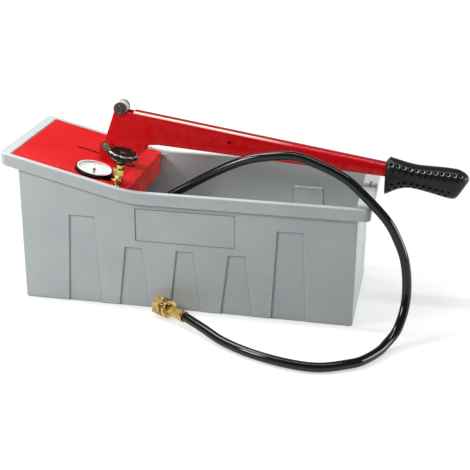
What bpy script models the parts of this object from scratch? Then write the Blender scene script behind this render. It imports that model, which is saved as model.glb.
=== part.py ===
"""Hydrostatic test pump: a moulded water tank with a lever pump hung under a sloping steel cover.

Metres, +Z up. The origin is the middle of the tank's base. +X runs along the tank towards the grip,
and -Y is the side with the gauge and the shut-off valve.
"""
import math

import bmesh
import bpy
from mathutils import Matrix, Vector
from mathutils.geometry import interpolate_bezier

for old in list(bpy.data.objects):
    bpy.data.objects.remove(old, do_unlink=True)

# Driving dimensions of the whole pump
TANK_LENGTH = 0.500
TANK_WIDTH = 0.200
RIM_LOW = 0.173
RIM_HIGH = 0.215
RAISED_LENGTH = 0.1735
GAP = 0.0003
OVERRUN = 0.004
SHEET = 0.002

# Tank shell
WALL = 0.003
FLOOR = 0.0035
END_INSET = 0.0165
RIM_REACH_LEFT = 0.0075
SIDE_INSET = 0.0045
SIDE_DRAFT = 0.004
SKIRT_DEPTH = 0.0173
SKIRT_WALL = 0.0025
RIM_PLATE = 0.003
RIM_EDGE = 0.0012
RIM_END_WIDTH = 0.0195
RIM_SIDE_WIDTH = 0.0075
KINK_BLEND = 0.020
CORNER_RADIUS = 0.010
CORNER_STEPS = 8
BASE_EDGE = 0.002
LEDGE_WIDTH = 0.0028
LEDGE_DEPTH = 0.006
FLOOR_FILLET = 0.006
LIP_STEP = 0.0012

# Wall panels: recessed outside, bulged inside
PANEL_PITCH = 0.0725
PANEL_DEPTH = 0.0022
PANEL_TALL = 0.131
PANEL_SHORT = 0.090
PANEL_TALL_HALF = 0.018
PANEL_SHORT_HALF = 0.012
PANEL_FLARE = 0.0065
PANEL_FLARE_SHORT = 0.011
LABEL_LENGTH = 0.138
LABEL_LOW = 0.101
LABEL_HIGH = 0.148
LABEL_DEPTH = 0.0008
RIM_SLOT_LENGTH = 0.022
RIM_SLOT_WIDTH = 0.003
RIM_SLOT_DEPTH = 0.0022
RIM_SLOT_Y = 0.010
RIM_SLOT_INSET = 0.0085

# Red cover, in its own plane
COVER_MARGIN = 0.0055
COVER_DROP = 0.0014
COVER_CLEARANCE = 0.0005
COVER_CORNER = 0.0035
HOLE_CLEARANCE = 0.0004
FOLD_X = -0.0795
FOLD_RADIUS = 0.003
APRON_BOTTOM = 0.142
APRON_SIDE_GAP = 0.0055
SCREW_U = -0.0165
SCREW_INSET = 0.0042
SCREW_RADIUS = 0.0017
SCREW_HEAD_RADIUS = 0.0030
SCREW_HEAD = 0.0022
SCREW_LENGTH = 0.012
SCREW_CROWN_RADIUS = 0.0022
SCREW_RECESS = 0.0008
SCREW_RECESS_REACH = 0.0018
BOSS_HALF = 0.005
BOSS_REACH = 0.0077
BOSS_ROOT = 0.0007
BOSS_DEPTH = 0.018
EAR_SLOT_LEFT = -0.147
EAR_SLOT_RIGHT = -0.117
EAR_SLOT_MIDDLE = 0.010
EAR_SLOT_HALF = 0.0018
LINK_SLOT_LEFT = -0.1295
LINK_SLOT_RIGHT = -0.0965
LINK_SLOT_HALF = 0.0055
GUIDE_SLOT_LEFT = -0.183
GUIDE_SLOT_RIGHT = -0.152
GUIDE_SLOT_Y = 0.011
GUIDE_SLOT_HALF = 0.0028

# Lever, a folded channel seen from the side
PIVOT_X = -0.1338
PIVOT_Z = 0.2072
ARM_X = 0.0318
ARM_Z = -0.0072
STOP_X = 0.0220
STOP_Z = 0.0553
CHANNEL_HALF = 0.008
CHANNEL_WALL = 0.0025
WEB_START_X = -0.093
WEB_NOTCH_X = -0.103
LEVER_TOP_X = -0.069
LEVER_TOP_Z = 0.2560
LEVER_TOP_FALL_SHARE = 0.1464
LEVER_LOW_X = -0.058
LEVER_LOW_Z = 0.2131
LEVER_LOW_FALL_SHARE = 0.0712
LEVER_END_X = 0.330
HEEL_RADIUS = 0.008
LOBE_RADIUS = 0.012
STOP_CORNER_RADIUS = 0.0074
SMALL_HOLE_X = 0.0438
SMALL_HOLE_Z = 0.2234
SMALL_HOLE_RADIUS = 0.0024
# Underside of the lobe, from the bar to the arc round the link pin, in lobe radii from that pin
LOBE_EDGE_SHARES = ((2.558, 1.008), (2.175, 0.700), (2.025, 0.308), (1.833, 0.017))

# Pins, bushes and rollers of the lever
PIN_RADIUS = 0.004
PIN_CLEARANCE = 0.0003
PIN_CHAMFER = 0.0006
BUSH_RADIUS = 0.006
BUSH_INNER = 0.0052
BUSH_OUTER = 0.0082
PIVOT_PIN_HALF = 0.0142
CLIP_RADIUS = 0.0056
CLIP_INNER = 0.0118
CLIP_OUTER = 0.0132
ROLLER_RADIUS = 0.0091
ROLLER_HALF = 0.0052
WASHER_RADIUS = 0.0093
WASHER_INNER = 0.0083
WASHER_OUTER = 0.0103
ROLLER_HEAD_RADIUS = 0.0052
ROLLER_HEAD_INNER = 0.0106
ROLLER_HEAD_OUTER = 0.0124
LINK_PIN_HALF = 0.0088

# Rubber grip. Each section has shares of the length, of the height for the underside and the top,
# and of the half width
GRIP_START_X = 0.2605
GRIP_LENGTH = 0.1125
GRIP_LOW = 0.1624
GRIP_HEIGHT = 0.0541
GRIP_HALF = 0.0175
GRIP_SECTION_SHARES = (
    (0.000, 0.030, 0.861, 0.743), (0.012, 0.015, 0.917, 0.857), (0.048, 0.048, 1.000, 0.943),
    (0.135, 0.161, 0.954, 0.983), (0.255, 0.246, 0.880, 1.000), (0.363, 0.231, 0.834, 1.000),
    (0.480, 0.181, 0.821, 1.000), (0.676, 0.076, 0.823, 1.000), (0.830, 0.000, 0.799, 0.971),
    (0.876, 0.057, 0.787, 0.914), (0.940, 0.288, 0.723, 0.743), (0.985, 0.462, 0.654, 0.457),
    (1.000, 0.510, 0.580, 0.229),
)
GRIP_SIDES = 20
GRIP_SQUARENESS_SHARE = 0.85

# Link and plunger
LINK_LENGTH = 0.074
LINK_HALF = 0.0035
LINK_EYE = 0.008
LINK_INNER = -0.0010
LINK_SHOULDER = 0.016
LINK_BOSS = 0.0068
LINK_BOSS_HALF = 0.0052
BARREL_X = -0.116
TINE_OUTER = 0.0075
TINE_INNER = 0.0038
FORK_BASE = 0.0074
FORK_CLEARANCE = 0.0015
ROD_RADIUS = 0.007
STUB_RADIUS = 0.0037
STUB_INNER = 0.0039
STUB_OUTER = 0.0079
PISTON_HEIGHT = 0.016
PISTON_REST_GAP = 0.0022
PISTON_CLEARANCE = 0.0007
ROD_SOCKET = 0.010
SEAL_HEIGHT = 0.005
SEAL_DEPTH = 0.0026
SEAL_INSET = 0.0015

# Pump barrel, head frame and long bolts
BORE_RADIUS = 0.019
BARREL_WALL = 0.0035
FLANGE_BOTTOM = 0.100
FLANGE_TOP = 0.106
FLANGE_HALF = 0.026
FLANGE_LIP = 0.0012
GLAND_RADIUS = 0.0125
GLAND_SPIGOT = 0.0105
GLAND_HEIGHT = 0.0036
GLAND_DEPTH = 0.0012
ROD_SEAL_HEIGHT = 0.003
EAR_INNER = 0.0085
EAR_OUTER = 0.0115
EAR_ROUND = 0.009
EAR_FOOT_HALF = 0.022
EAR_ARCH_HALF = 0.013
EAR_ARCH_HEIGHT = 0.006
EAR_SHOULDER_HEIGHT = 0.012
EAR_LEFT_X = -0.146
EAR_RIGHT_X = -0.122
EAR_WAIST_Z = 0.180
TAB_LEFT_U = -0.0575
TAB_RIGHT_U = -0.0470
TAB_OUTER = 0.0175
TAB_THICKNESS = 0.003
TIE_RADIUS = 0.003
TIE_OFFSET = 0.020
TIE_HEAD_RADIUS = 0.0058
TIE_HEAD_HEIGHT = 0.0045
TIE_TIP = 0.018

# Valve block, check valves and strainer
BLOCK_BOTTOM = 0.012
BLOCK_TOP = 0.036
BLOCK_HALF_X = 0.030
BLOCK_NEAR = 0.058
BLOCK_FAR = 0.026
SUCTION_SEAT_RADIUS = 0.005
SUCTION_SEAT_Z = 0.0185
SUCTION_BORE = 0.0085
SUCTION_BALL = 0.007
RETAINER_LOW = 0.0324
RETAINER_HIGH = 0.0354
RETAINER_HOLE = 0.004
DELIVERY_Y = -0.044
DELIVERY_SEAT_RADIUS = 0.0035
DELIVERY_SEAT_Z = 0.031
DELIVERY_SEAT_FOOT = 0.024
DELIVERY_BORE = 0.007
DELIVERY_BALL = 0.005
CROSS_Z = 0.0265
CROSS_RADIUS = 0.0020
CAP_SPIGOT_LOW = 0.0325
CAP_CAVITY = 0.0055
CAP_CEILING = 0.0424
CAP_PORT = 0.0020
CAP_RADIUS = 0.0095
CAP_TOP = 0.0503
CAP_HEX_RADIUS = 0.0115
CAP_HEX_LOW = 0.038
CAP_HEX_HIGH = 0.046
STRAINER_RADIUS = 0.013
STRAINER_WALL = 0.0015
STRAINER_BOTTOM = 0.0048
STRAINER_PLATE = 0.0015
STRAINER_SPIGOT = 0.0047
STRAINER_SPIGOT_TOP = 0.015
STRAINER_SLOTS = 12
STRAINER_SLOT_HALF = 0.001
STRAINER_SLOT_TOP = 0.0088
RISER_RADIUS = 0.004
RISER_BORE = 0.0022
RISER_SOCKET = 0.004
RISER_STRAIGHT = 0.012
RISER_NUT_RADIUS = 0.0082
RISER_NUT_HEIGHT = 0.008
RISER_STEP = 0.008

# Manifold under the cover, in the cover's plane
MANIFOLD_LEFT = -0.074
MANIFOLD_RIGHT = -0.006
MANIFOLD_INSET = 0.0045
MANIFOLD_DEPTH = 0.050
MANIFOLD_TOP = -0.042
MANIFOLD_BOTTOM = -0.064
GALLERY_W = -0.0535
GALLERY_RADIUS = 0.0025
RISER_PORT_U = -0.022
RISER_PORT_INSET = 0.008

# Gauge, in the cover's plane
GAUGE_U = -0.0581
GAUGE_INSET = 0.0045
GAUGE_RADIUS = 0.0260
GAUGE_TOP = 0.0053
GAUGE_BOTTOM = -0.024
GAUGE_RIM_RADIUS = 0.0245
GAUGE_RIM_SEAT = 0.0042
GAUGE_DISH_RADIUS = 0.0240
GAUGE_DISH_FLOOR = 0.0017
GAUGE_BORE_RADIUS = 0.0230
GAUGE_BORE_FLOOR = -0.0225
DIAL_RADIUS = 0.0237
DIAL_LOW = 0.0020
DIAL_HIGH = 0.0026
DIAL_HOLE = 0.0011
NEEDLE_LOW = 0.0031
NEEDLE_HIGH = 0.0037
NEEDLE_LENGTH = 0.0125
NEEDLE_TAIL = 0.0050
NEEDLE_HALF = 0.0009
NEEDLE_HUB = 0.0022
NEEDLE_SHAFT = 0.0008
NEEDLE_SHAFT_LOW = 0.0005
NEEDLE_REST = -75
WINDOW_RADIUS = 0.0242
WINDOW_LOW = 0.0045
WINDOW_HIGH = 0.0057
GAUGE_SPIGOT_RADIUS = 0.0065
GAUGE_SPIGOT_LOW = -0.0515
GAUGE_HEX_RADIUS = 0.0085
GAUGE_HEX_HEIGHT = 0.009
GAUGE_SOCKET = 0.010

# Shut-off valve, in the cover's plane
VALVE_U = -0.0201
VALVE_INSET = 0.0155
VALVE_BODY_RADIUS = 0.0062
VALVE_BODY_LOW = -0.0525
VALVE_BODY_TOP = 0.0180
VALVE_SOCKET = 0.011
PANEL_NUT_RADIUS = 0.0092
PANEL_NUT_TOP = 0.006
PACKING_NUT_RADIUS = 0.0088
PACKING_NUT_LOW = 0.0135
PACKING_NUT_TOP = 0.0220
PACKING_NECK_RADIUS = 0.0052
PACKING_NECK_TOP = 0.0275
STEM_RADIUS = 0.003
STEM_LOW = -0.0500
STEM_TOP = 0.0435
STEM_BORE = 0.0018
STEM_BORE_DEPTH = 0.007
VALVE_DRAIN = 0.0033
WHEEL_RING_SHARES = (
    (0.30, 0.00, 0), (0.33, 0.10, 0), (0.90, 0.56, 0), (0.985, 0.62, 1), (1.00, 0.78, 1),
    (0.97, 0.93, 1), (0.88, 1.00, 1), (0.78, 0.97, 0), (0.66, 0.90, 0), (0.34, 0.88, 0),
)
WHEEL_BOTTOM = 0.0290
WHEEL_HEIGHT = 0.0172
WHEEL_RADIUS = 0.0205
WHEEL_LOBE = 0.0011
WHEEL_LOBES = 10
WHEEL_SIDES = 60
WHEEL_SCREW_RADIUS = 0.0042
WHEEL_SCREW_LOW = 0.0445
WHEEL_SCREW_TOP = 0.0462
WHEEL_SCREW_SHANK = 0.0015
WHEEL_SCREW_TIP = 0.038

# Outlet elbow and the hose's tank end
OUTLET_INSET = 0.014
ELBOW_RADIUS = 0.0068
ELBOW_BORE = 0.0035
ELBOW_ENTRY = 0.0055
ELBOW_HEX_RADIUS = 0.0095
ELBOW_HEX_LENGTH = 0.007
ELBOW_END = 0.007
ELBOW_STEP = 0.003
TAIL_X = -0.0740
TAIL_Z = 0.1225
TAIL_RISE = 37.2
TAIL_RADIUS = 0.0090
TAIL_LENGTH = 0.030
TAIL_SOCKET = 0.008

# Hose and its end fitting
HOSE_RADIUS = 0.00625
HOSE_LEVEL = 3
HOSE_STEP = 0.018
HOSE_FIT = 0.0004
HOSE_ENTRY = 0.008
END_X = -0.0340
END_Y = -0.1075
END_HEIGHT = 0.0148
END_TURN = 144.2
FERRULE_RADIUS = 0.0078
FERRULE_LENGTH = 0.0315
NUT_RADIUS = 0.0145
NUT_LENGTH = 0.024
NUT_HEX_LENGTH = 0.0125
NUT_COLLAR_RADIUS = 0.0130
NUT_COLLAR_LENGTH = 0.0045
NUT_RING_RADIUS = 0.0124
NUT_RING_LENGTH = 0.0012
NUT_GROOVE_RADIUS = 0.0110
NUT_GROOVE = 0.0011
NUT_BORE = 0.0098
NUT_BORE_DEPTH = 0.015
NIPPLE_RADIUS = 0.0062
NIPPLE_FLANGE = 0.0094
NIPPLE_FLANGE_LENGTH = 0.003
NIPPLE_BORE = 0.003
NIPPLE_REACH = 0.015
WASHER_THICKNESS = 0.002

# Route of the hose's middle line between its two fittings
HOSE_ROUTE = (
    (-0.0345, -0.0520, 0.1520), (-0.0220, -0.0520, 0.1608), (-0.0018, -0.0530, 0.1733),
    (0.0197, -0.0550, 0.1870), (0.0556, -0.0600, 0.2076), (0.0872, -0.0645, 0.2210),
    (0.1276, -0.0705, 0.2295), (0.1505, -0.0740, 0.2299), (0.1745, -0.0780, 0.2240),
    (0.1984, -0.0830, 0.2161), (0.2184, -0.0873, 0.2064), (0.2381, -0.0915, 0.1908),
    (0.2577, -0.0940, 0.1731), (0.2732, -0.0955, 0.1562), (0.2852, -0.0970, 0.1365),
    (0.2964, -0.0990, 0.1105), (0.3022, -0.1035, 0.0809), (0.3026, -0.1135, 0.0493),
    (0.2950, -0.1330, 0.0225), (0.2830, -0.1530, 0.0105), (0.2740, -0.1710, 0.0069),
    (0.2580, -0.1965, 0.0066), (0.2420, -0.2110, 0.0066), (0.2040, -0.2290, 0.0066),
    (0.1615, -0.2260, 0.0066), (0.1130, -0.2090, 0.0067), (0.0720, -0.1850, 0.0075),
    (0.0420, -0.1630, 0.0118),
)

# Places worked out from the sizes above
LEFT = -TANK_LENGTH / 2
RIGHT = TANK_LENGTH / 2
KINK_X = LEFT + RAISED_LENGTH
SLOPE_SHARE = (RIM_HIGH - RIM_LOW) / RAISED_LENGTH
SLOPE = math.atan(SLOPE_SHARE)
BORE_HALF_WIDTH = TANK_WIDTH / 2 - RIM_SIDE_WIDTH
SCREW_Y = BORE_HALF_WIDTH - SCREW_INSET
GAUGE_Y = GAUGE_INSET + GAUGE_RADIUS - BORE_HALF_WIDTH
VALVE_Y = VALVE_INSET - BORE_HALF_WIDTH
MANIFOLD_NEAR = MANIFOLD_INSET - BORE_HALF_WIDTH
MANIFOLD_FAR = MANIFOLD_NEAR + MANIFOLD_DEPTH
RISER_PORT_Y = MANIFOLD_FAR - RISER_PORT_INSET
OUTLET_Y = MANIFOLD_FAR - OUTLET_INSET


def cover_top(x):
    """Height of the cover's upper face at x."""
    return RIM_LOW + (KINK_X - x) * SLOPE_SHARE - COVER_DROP


FOLD_Z = cover_top(FOLD_X)
WORLD = Matrix.Identity(4)
COVER = Matrix.Translation((FOLD_X, 0, FOLD_Z)) @ Matrix.Rotation(SLOPE, 4, "Y")


# Shared modelling tools

def finish(name, colour, roughness, metallic=0.0):
    """A plain material for one piece."""
    made = bpy.data.materials.new(name)
    made.use_nodes = True
    shader = made.node_tree.nodes["Principled BSDF"]
    shader.inputs["Base Color"].default_value = (*colour, 1)
    shader.inputs["Roughness"].default_value = roughness
    shader.inputs["Metallic"].default_value = metallic
    made.diffuse_color = (*colour, 1)
    return made


GREY = finish("grey_plastic", (0.42, 0.47, 0.48), 0.5)
RED = finish("red_paint", (0.75, 0.02, 0.03), 0.35)
BLACK = finish("black_rubber", (0.02, 0.02, 0.02), 0.6)
BRASS = finish("brass", (0.78, 0.57, 0.25), 0.3, 1.0)
STEEL = finish("zinc_steel", (0.60, 0.61, 0.60), 0.35, 1.0)
WHITE = finish("white_dial", (0.90, 0.90, 0.88), 0.5)
CLEAR = finish("clear_window", (0.90, 0.95, 0.95), 0.05)
NYLON = finish("grey_nylon", (0.62, 0.62, 0.60), 0.5)


def frame(name, matrix, parent=None):
    """An empty that carries the pieces of one moving part, or of one tilted group."""
    empty = bpy.data.objects.new(name, None)
    bpy.context.collection.objects.link(empty)
    if parent:
        empty.parent = parent
        empty.matrix_basis = parent_world(parent).inverted() @ matrix
    else:
        empty.matrix_basis = matrix
    return empty


def parent_world(obj):
    """World matrix through the parents, without waiting for a scene update."""
    if obj.parent:
        return parent_world(obj.parent) @ obj.matrix_basis
    return obj.matrix_basis.copy()


def piece(name, shape, material, parent=None, sharp=35):
    """Turn a bmesh, given in world coordinates, into a named, shaded object."""
    if parent:
        place(shape, parent_world(parent).inverted())
    bmesh.ops.remove_doubles(shape, verts=shape.verts, dist=GAP / 30)
    bmesh.ops.recalc_face_normals(shape, faces=shape.faces)
    mesh = bpy.data.meshes.new(name)
    shape.to_mesh(mesh)
    shape.free()
    mesh.shade_smooth()
    mesh.set_sharp_from_angle(angle=math.radians(sharp))
    obj = bpy.data.objects.new(name, mesh)
    bpy.context.collection.objects.link(obj)
    if material:
        mesh.materials.append(material)
    obj.parent = parent
    return obj


def boolean(target, shape, operation="DIFFERENCE", crossing=False):
    """Cut a closed shape out of a piece, or join it on. Crossing says that the shape's own bodies overlap."""
    cutter = piece(target.name + "_cutter", shape, None, target.parent)
    cutter.hide_render = True
    cutter.display_type = "WIRE"
    change = target.modifiers.new(operation.lower(), "BOOLEAN")
    change.operation = operation
    change.solver = "EXACT"
    change.use_self = crossing
    change.object = cutter


def loft(rings, closed=False):
    """Bridge rings of equally many points. Open lofts get a cap on each end."""
    shape = bmesh.new()
    rows = [[shape.verts.new(point) for point in ring] for ring in rings]
    pairs = list(zip(rows, rows[1:]))
    if closed:
        pairs.append((rows[-1], rows[0]))
    for low, high in pairs:
        for index in range(len(low)):
            after = (index + 1) % len(low)
            shape.faces.new((low[index], low[after], high[after], high[index]))
    if not closed:
        shape.faces.new(rows[0])
        shape.faces.new(rows[-1])
    return shape


def place(shape, matrix):
    """Move a whole bmesh."""
    bmesh.ops.transform(shape, matrix=matrix, verts=shape.verts)
    return shape


def joined(shapes):
    """Several closed bodies in one mesh."""
    whole = bmesh.new()
    for shape in shapes:
        mesh = bpy.data.meshes.new("part")
        shape.to_mesh(mesh)
        shape.free()
        whole.from_mesh(mesh)
        bpy.data.meshes.remove(mesh)
    return whole


ALONG_Y = Matrix.Rotation(-math.pi / 2, 4, "X")
ALONG_X = Matrix.Rotation(math.pi / 2, 4, "Y")


def turned(profile, sides=20, matrix=WORLD):
    """Turn a closed profile of (radius, height) points round Z. Radius zero closes on the axis."""
    shape = bmesh.new()
    rows = []
    for radius, height in profile:
        if radius == 0:
            rows.append([shape.verts.new((0, 0, height))] * sides)
        else:
            turns = [2 * math.pi * step / sides for step in range(sides)]
            corners = [(radius * math.cos(a), radius * math.sin(a), height) for a in turns]
            rows.append([shape.verts.new(corner) for corner in corners])
    pairs = list(zip(rows, rows[1:]))
    if profile[0][0] and profile[-1][0]:
        pairs.append((rows[-1], rows[0]))
    for low, high in pairs:
        for index in range(sides):
            after = (index + 1) % sides
            corners = []
            for vert in (low[index], low[after], high[after], high[index]):
                if vert not in corners:
                    corners.append(vert)
            if len(corners) > 2:
                shape.faces.new(corners)
    return place(shape, matrix)


def disc(radius, low, high, sides=20, matrix=WORLD):
    """A plain round bar from one height to another."""
    return turned([(0, low), (radius, low), (radius, high), (0, high)], sides, matrix)


def tube(radius, bore, low, high, sides=20, matrix=WORLD):
    """A ring or sleeve."""
    return turned([(bore, low), (radius, low), (radius, high), (bore, high)], sides, matrix)


def box(low, high):
    """A block between two corners."""
    shape = bmesh.new()
    bmesh.ops.create_cube(shape, size=1.0)
    for vert in shape.verts:
        for axis in range(3):
            vert.co[axis] = high[axis] if vert.co[axis] > 0 else low[axis]
    return shape


def prism(outline, low, high):
    """Extrude an outline of (x, z) points along Y."""
    return loft([[Vector((x, y, z)) for x, z in outline] for y in (low, high)])


def arc(centre, radius, start, end, steps=6):
    """Points on a circle, in degrees from +X towards +Z."""
    angles = [math.radians(start + (end - start) * step / steps) for step in range(steps + 1)]
    return [(centre[0] + radius * math.cos(a), centre[1] + radius * math.sin(a)) for a in angles]


def smooth_line(points, step):
    """Points about one step apart on a smooth curve through the given points."""
    knots = [Vector(point) for point in points]
    knots = [2 * knots[0] - knots[1]] + knots + [2 * knots[-1] - knots[-2]]
    line = [knots[1]]
    for before, start, end, after in zip(knots, knots[1:], knots[2:], knots[3:]):
        count = max(1, round((end - start).length / step))
        for index in range(1, count + 1):
            t = index / count
            near = (end - before) / 2
            far = (after - start) / 2
            blend = (2 * start - 2 * end + near + far) * t ** 3
            blend += (3 * end - 3 * start - 2 * near - far) * t ** 2
            line.append(blend + near * t + start)
    return line


def piped(name, points, radius, level, material, parent=None):
    """A round bar along a line, as a bevelled curve with filled ends."""
    curve = bpy.data.curves.new(name, "CURVE")
    curve.dimensions = "3D"
    curve.bevel_depth = radius
    curve.bevel_resolution = level
    curve.use_fill_caps = True
    curve.materials.append(material)
    spline = curve.splines.new("POLY")
    spline.points.add(len(points) - 1)
    for point, place_at in zip(spline.points, points):
        point.co = (*place_at, 1)
    obj = bpy.data.objects.new(name, curve)
    bpy.context.collection.objects.link(obj)
    obj.parent = parent
    return obj


# Tank

def rim_height(x):
    """The rim falls from the raised end to a rounded kink and then runs level."""
    over = KINK_X - x
    if over <= -KINK_BLEND:
        return RIM_LOW
    if over >= KINK_BLEND:
        return RIM_LOW + over * SLOPE_SHARE
    return RIM_LOW + SLOPE_SHARE * (over + KINK_BLEND) ** 2 / (4 * KINK_BLEND)


def under_cover(x):
    """Where the tank carries the cover."""
    return x < KINK_X + KINK_BLEND / 4


def tank_ring(inset_left, inset_right, half_width, height):
    """One ring of the shell. Half width and height are functions of x."""
    x_low, x_high = LEFT + inset_left, RIGHT - inset_right
    radius = max(CORNER_RADIUS - max(inset_right, TANK_WIDTH / 2 - half_width(RIGHT)) / 2, CORNER_RADIUS / 4)
    stations = [KINK_X + KINK_BLEND * share for share in (-1, -0.5, 0, 0.5, 1)]
    flat = [(x, -half_width(x)) for x in stations]
    wide = half_width(RIGHT)
    flat += arc((x_high - radius, radius - wide), radius, -90, 0, CORNER_STEPS)
    flat += arc((x_high - radius, wide - radius), radius, 0, 90, CORNER_STEPS)
    flat += [(x, half_width(x)) for x in reversed(stations)]
    wide = half_width(LEFT)
    flat += arc((x_low + radius, wide - radius), radius, 90, 180, CORNER_STEPS)
    flat += arc((x_low + radius, radius - wide), radius, 180, 270, CORNER_STEPS)
    return [Vector((x, y, height(x))) for x, y in flat]


def even(value):
    """A height or width that is the same along the tank."""
    return lambda x: value


def tank():
    """The moulded shell with its turned-down rim, its cover ledge and its panelled long walls."""
    half = TANK_WIDTH / 2
    outer = even(half - SIDE_INSET)
    base = half - SIDE_INSET - SIDE_DRAFT
    skirt = SKIRT_WALL
    reach = RIM_REACH_LEFT
    inner = BORE_HALF_WIDTH

    def ledge_z(x):
        drop = (SHEET + GAP) / math.cos(SLOPE)
        return cover_top(x) - drop if under_cover(x) else rim_height(x) - 2 * LIP_STEP

    def lip_z(x):
        return ledge_z(x) if under_cover(x) else rim_height(x) - LIP_STEP

    def ledge_half(x):
        return inner - LEDGE_WIDTH if under_cover(x) else inner - LIP_STEP / 4

    def rim_under(x):
        return (ledge_z(x) if under_cover(x) else rim_height(x)) - RIM_PLATE

    rings = [
        tank_ring(END_INSET + BASE_EDGE, END_INSET + BASE_EDGE, even(base - BASE_EDGE), even(0)),
        tank_ring(END_INSET, END_INSET, even(base), even(BASE_EDGE)),
        tank_ring(END_INSET, END_INSET, outer, rim_under),
        tank_ring(skirt - reach, skirt, even(half - skirt), rim_under),
        tank_ring(skirt - reach, skirt, even(half - skirt), lambda x: rim_height(x) - SKIRT_DEPTH),
        tank_ring(-reach, 0, even(half), lambda x: rim_height(x) - SKIRT_DEPTH),
        tank_ring(-reach, 0, even(half), lambda x: rim_height(x) - RIM_EDGE),
        tank_ring(RIM_EDGE - reach, RIM_EDGE, even(half - RIM_EDGE), rim_height),
        tank_ring(COVER_MARGIN, RIM_END_WIDTH, even(inner), rim_height),
        tank_ring(COVER_MARGIN, RIM_END_WIDTH, even(inner), lip_z),
        tank_ring(RIM_END_WIDTH + LEDGE_WIDTH, RIM_END_WIDTH, ledge_half, ledge_z),
        tank_ring(RIM_END_WIDTH, RIM_END_WIDTH, even(inner), lambda x: ledge_z(x) - LEDGE_DEPTH),
        tank_ring(RIM_END_WIDTH, RIM_END_WIDTH, even(base - WALL), even(FLOOR + FLOOR_FILLET)),
        tank_ring(RIM_END_WIDTH + FLOOR_FILLET, RIM_END_WIDTH + FLOOR_FILLET,
                  even(base - WALL - FLOOR_FILLET), even(FLOOR)),
    ]
    shell = piece("tank", loft(rings), GREY)
    panels, bulges = [], []
    for column in range(-2, 3):
        tall = abs(column) == 2
        top = PANEL_TALL if tall else PANEL_SHORT
        top_half = PANEL_TALL_HALF if tall else PANEL_SHORT_HALF
        flare = PANEL_FLARE if tall else PANEL_FLARE_SHORT
        for side in (-1, 1):
            panels.append(panel(column * PANEL_PITCH, side, top, top_half, flare, 0, -OVERRUN))
            bulges.append(panel(column * PANEL_PITCH, side, top, top_half, flare, WALL, FLOOR / 2))
    boolean(shell, joined(bulges), "UNION")
    boolean(shell, joined(panels))
    label = box((-LABEL_LENGTH / 2, -half - OVERRUN, LABEL_LOW), (LABEL_LENGTH / 2, 0, LABEL_HIGH))
    depth = base - LABEL_DEPTH
    for vert in label.verts:
        if vert.co.y == 0:
            vert.co.y = -(depth + vert.co.z * wall_lean_share())
    boolean(shell, label)
    slot_x, slot_half, slot_reach = RIGHT - RIM_SLOT_INSET, RIM_SLOT_WIDTH / 2, RIM_SLOT_LENGTH / 2
    slot = box((slot_x - slot_half, RIM_SLOT_Y - slot_reach, RIM_LOW - RIM_SLOT_DEPTH),
               (slot_x + slot_half, RIM_SLOT_Y + slot_reach, RIM_LOW + OVERRUN))
    boolean(shell, slot)
    return shell


def wall_lean_share():
    """How far the long walls lean out, per length of height."""
    return SIDE_DRAFT / (RIM_LOW - RIM_PLATE - BASE_EDGE)


def panel(middle, side, top, top_half, flare, inward, bottom):
    """A wedge that widens downwards, with its back parallel to the wall."""
    base = TANK_WIDTH / 2 - SIDE_INSET - SIDE_DRAFT
    back = base - PANEL_DEPTH - inward
    front = back + PANEL_DEPTH + OVERRUN if inward == 0 else back + PANEL_DEPTH + WALL / 2
    shape = bmesh.new()
    rows = []
    for depth in (back, front):
        row = []
        for z, width in ((bottom, top_half + flare), (top, top_half)):
            for sign in (-1, 1):
                x = middle + sign * (width + (inward if inward else 0))
                height = z + (inward if inward and z == top else 0)
                row.append(shape.verts.new((x, side * (depth + height * wall_lean_share()), height)))
        rows.append((row[0], row[1], row[3], row[2]))
    for row in rows:
        shape.faces.new(row)
    for index in range(4):
        after = (index + 1) % 4
        shape.faces.new((rows[0][index], rows[0][after], rows[1][after], rows[1][index]))
    bmesh.ops.recalc_face_normals(shape, faces=shape.faces)
    return shape


# Frames of the moving parts, and more shared shapes

def pivot_matrix(x, z, y=0.0):
    """Place for a shape turned round an axis that runs along Y."""
    return Matrix.Translation((x, y, z)) @ ALONG_Y


def upright(x, y, z=0.0):
    """Place for a shape turned round a vertical axis."""
    return Matrix.Translation((x, y, z))


def on_cover(u, y, w=0.0):
    """Place for a shape that stands square on the cover."""
    return COVER @ Matrix.Translation((u, y, w))


def aimed(origin, direction):
    """Place for a shape turned round a free axis."""
    return Matrix.Translation(origin) @ direction.to_track_quat("Z", "Y").to_matrix().to_4x4()


def nut(radius, bore, low, high, matrix=WORLD, chamfer=0.0):
    """A hexagon nut with a round hole."""
    sides = 24
    turns = [2 * math.pi * step / sides for step in range(sides)]
    sixth = math.pi / 3
    apothem = radius * math.cos(sixth / 2)
    reach = [apothem / math.cos((turn + sixth / 2) % sixth - sixth / 2) for turn in turns]
    trimmed = [min(length, radius - chamfer) for length in reach]

    def ring(lengths, height):
        return [Vector((r * math.cos(a), r * math.sin(a), height)) for r, a in zip(lengths, turns)]

    rings = [ring([bore] * sides, low), ring(trimmed, low), ring(reach, low + chamfer / 2),
             ring(reach, high - chamfer / 2), ring(trimmed, high), ring([bore] * sides, high)]
    if not chamfer:
        rings = [rings[0], rings[2], rings[3], rings[5]]
    return place(loft(rings, closed=True), matrix)


def ball(radius, centre, sides=16):
    """A round ball."""
    half = sides // 2
    turns = [math.pi * step / half - math.pi / 2 for step in range(half + 1)]
    profile = [(radius * math.cos(a), radius * math.sin(a)) for a in turns]
    profile[0], profile[-1] = (0, -radius), (0, radius)
    return turned(profile, sides, Matrix.Translation(centre))


def bend(start, leaving, end, arriving, step):
    """Points about one step apart on a bend that leaves one way and arrives another."""
    hold = (end - start).length / 3
    count = max(3, round((end - start).length / step)) + 1
    return list(interpolate_bezier(start, start + leaving * hold, end - arriving * hold, end, count))


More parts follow.
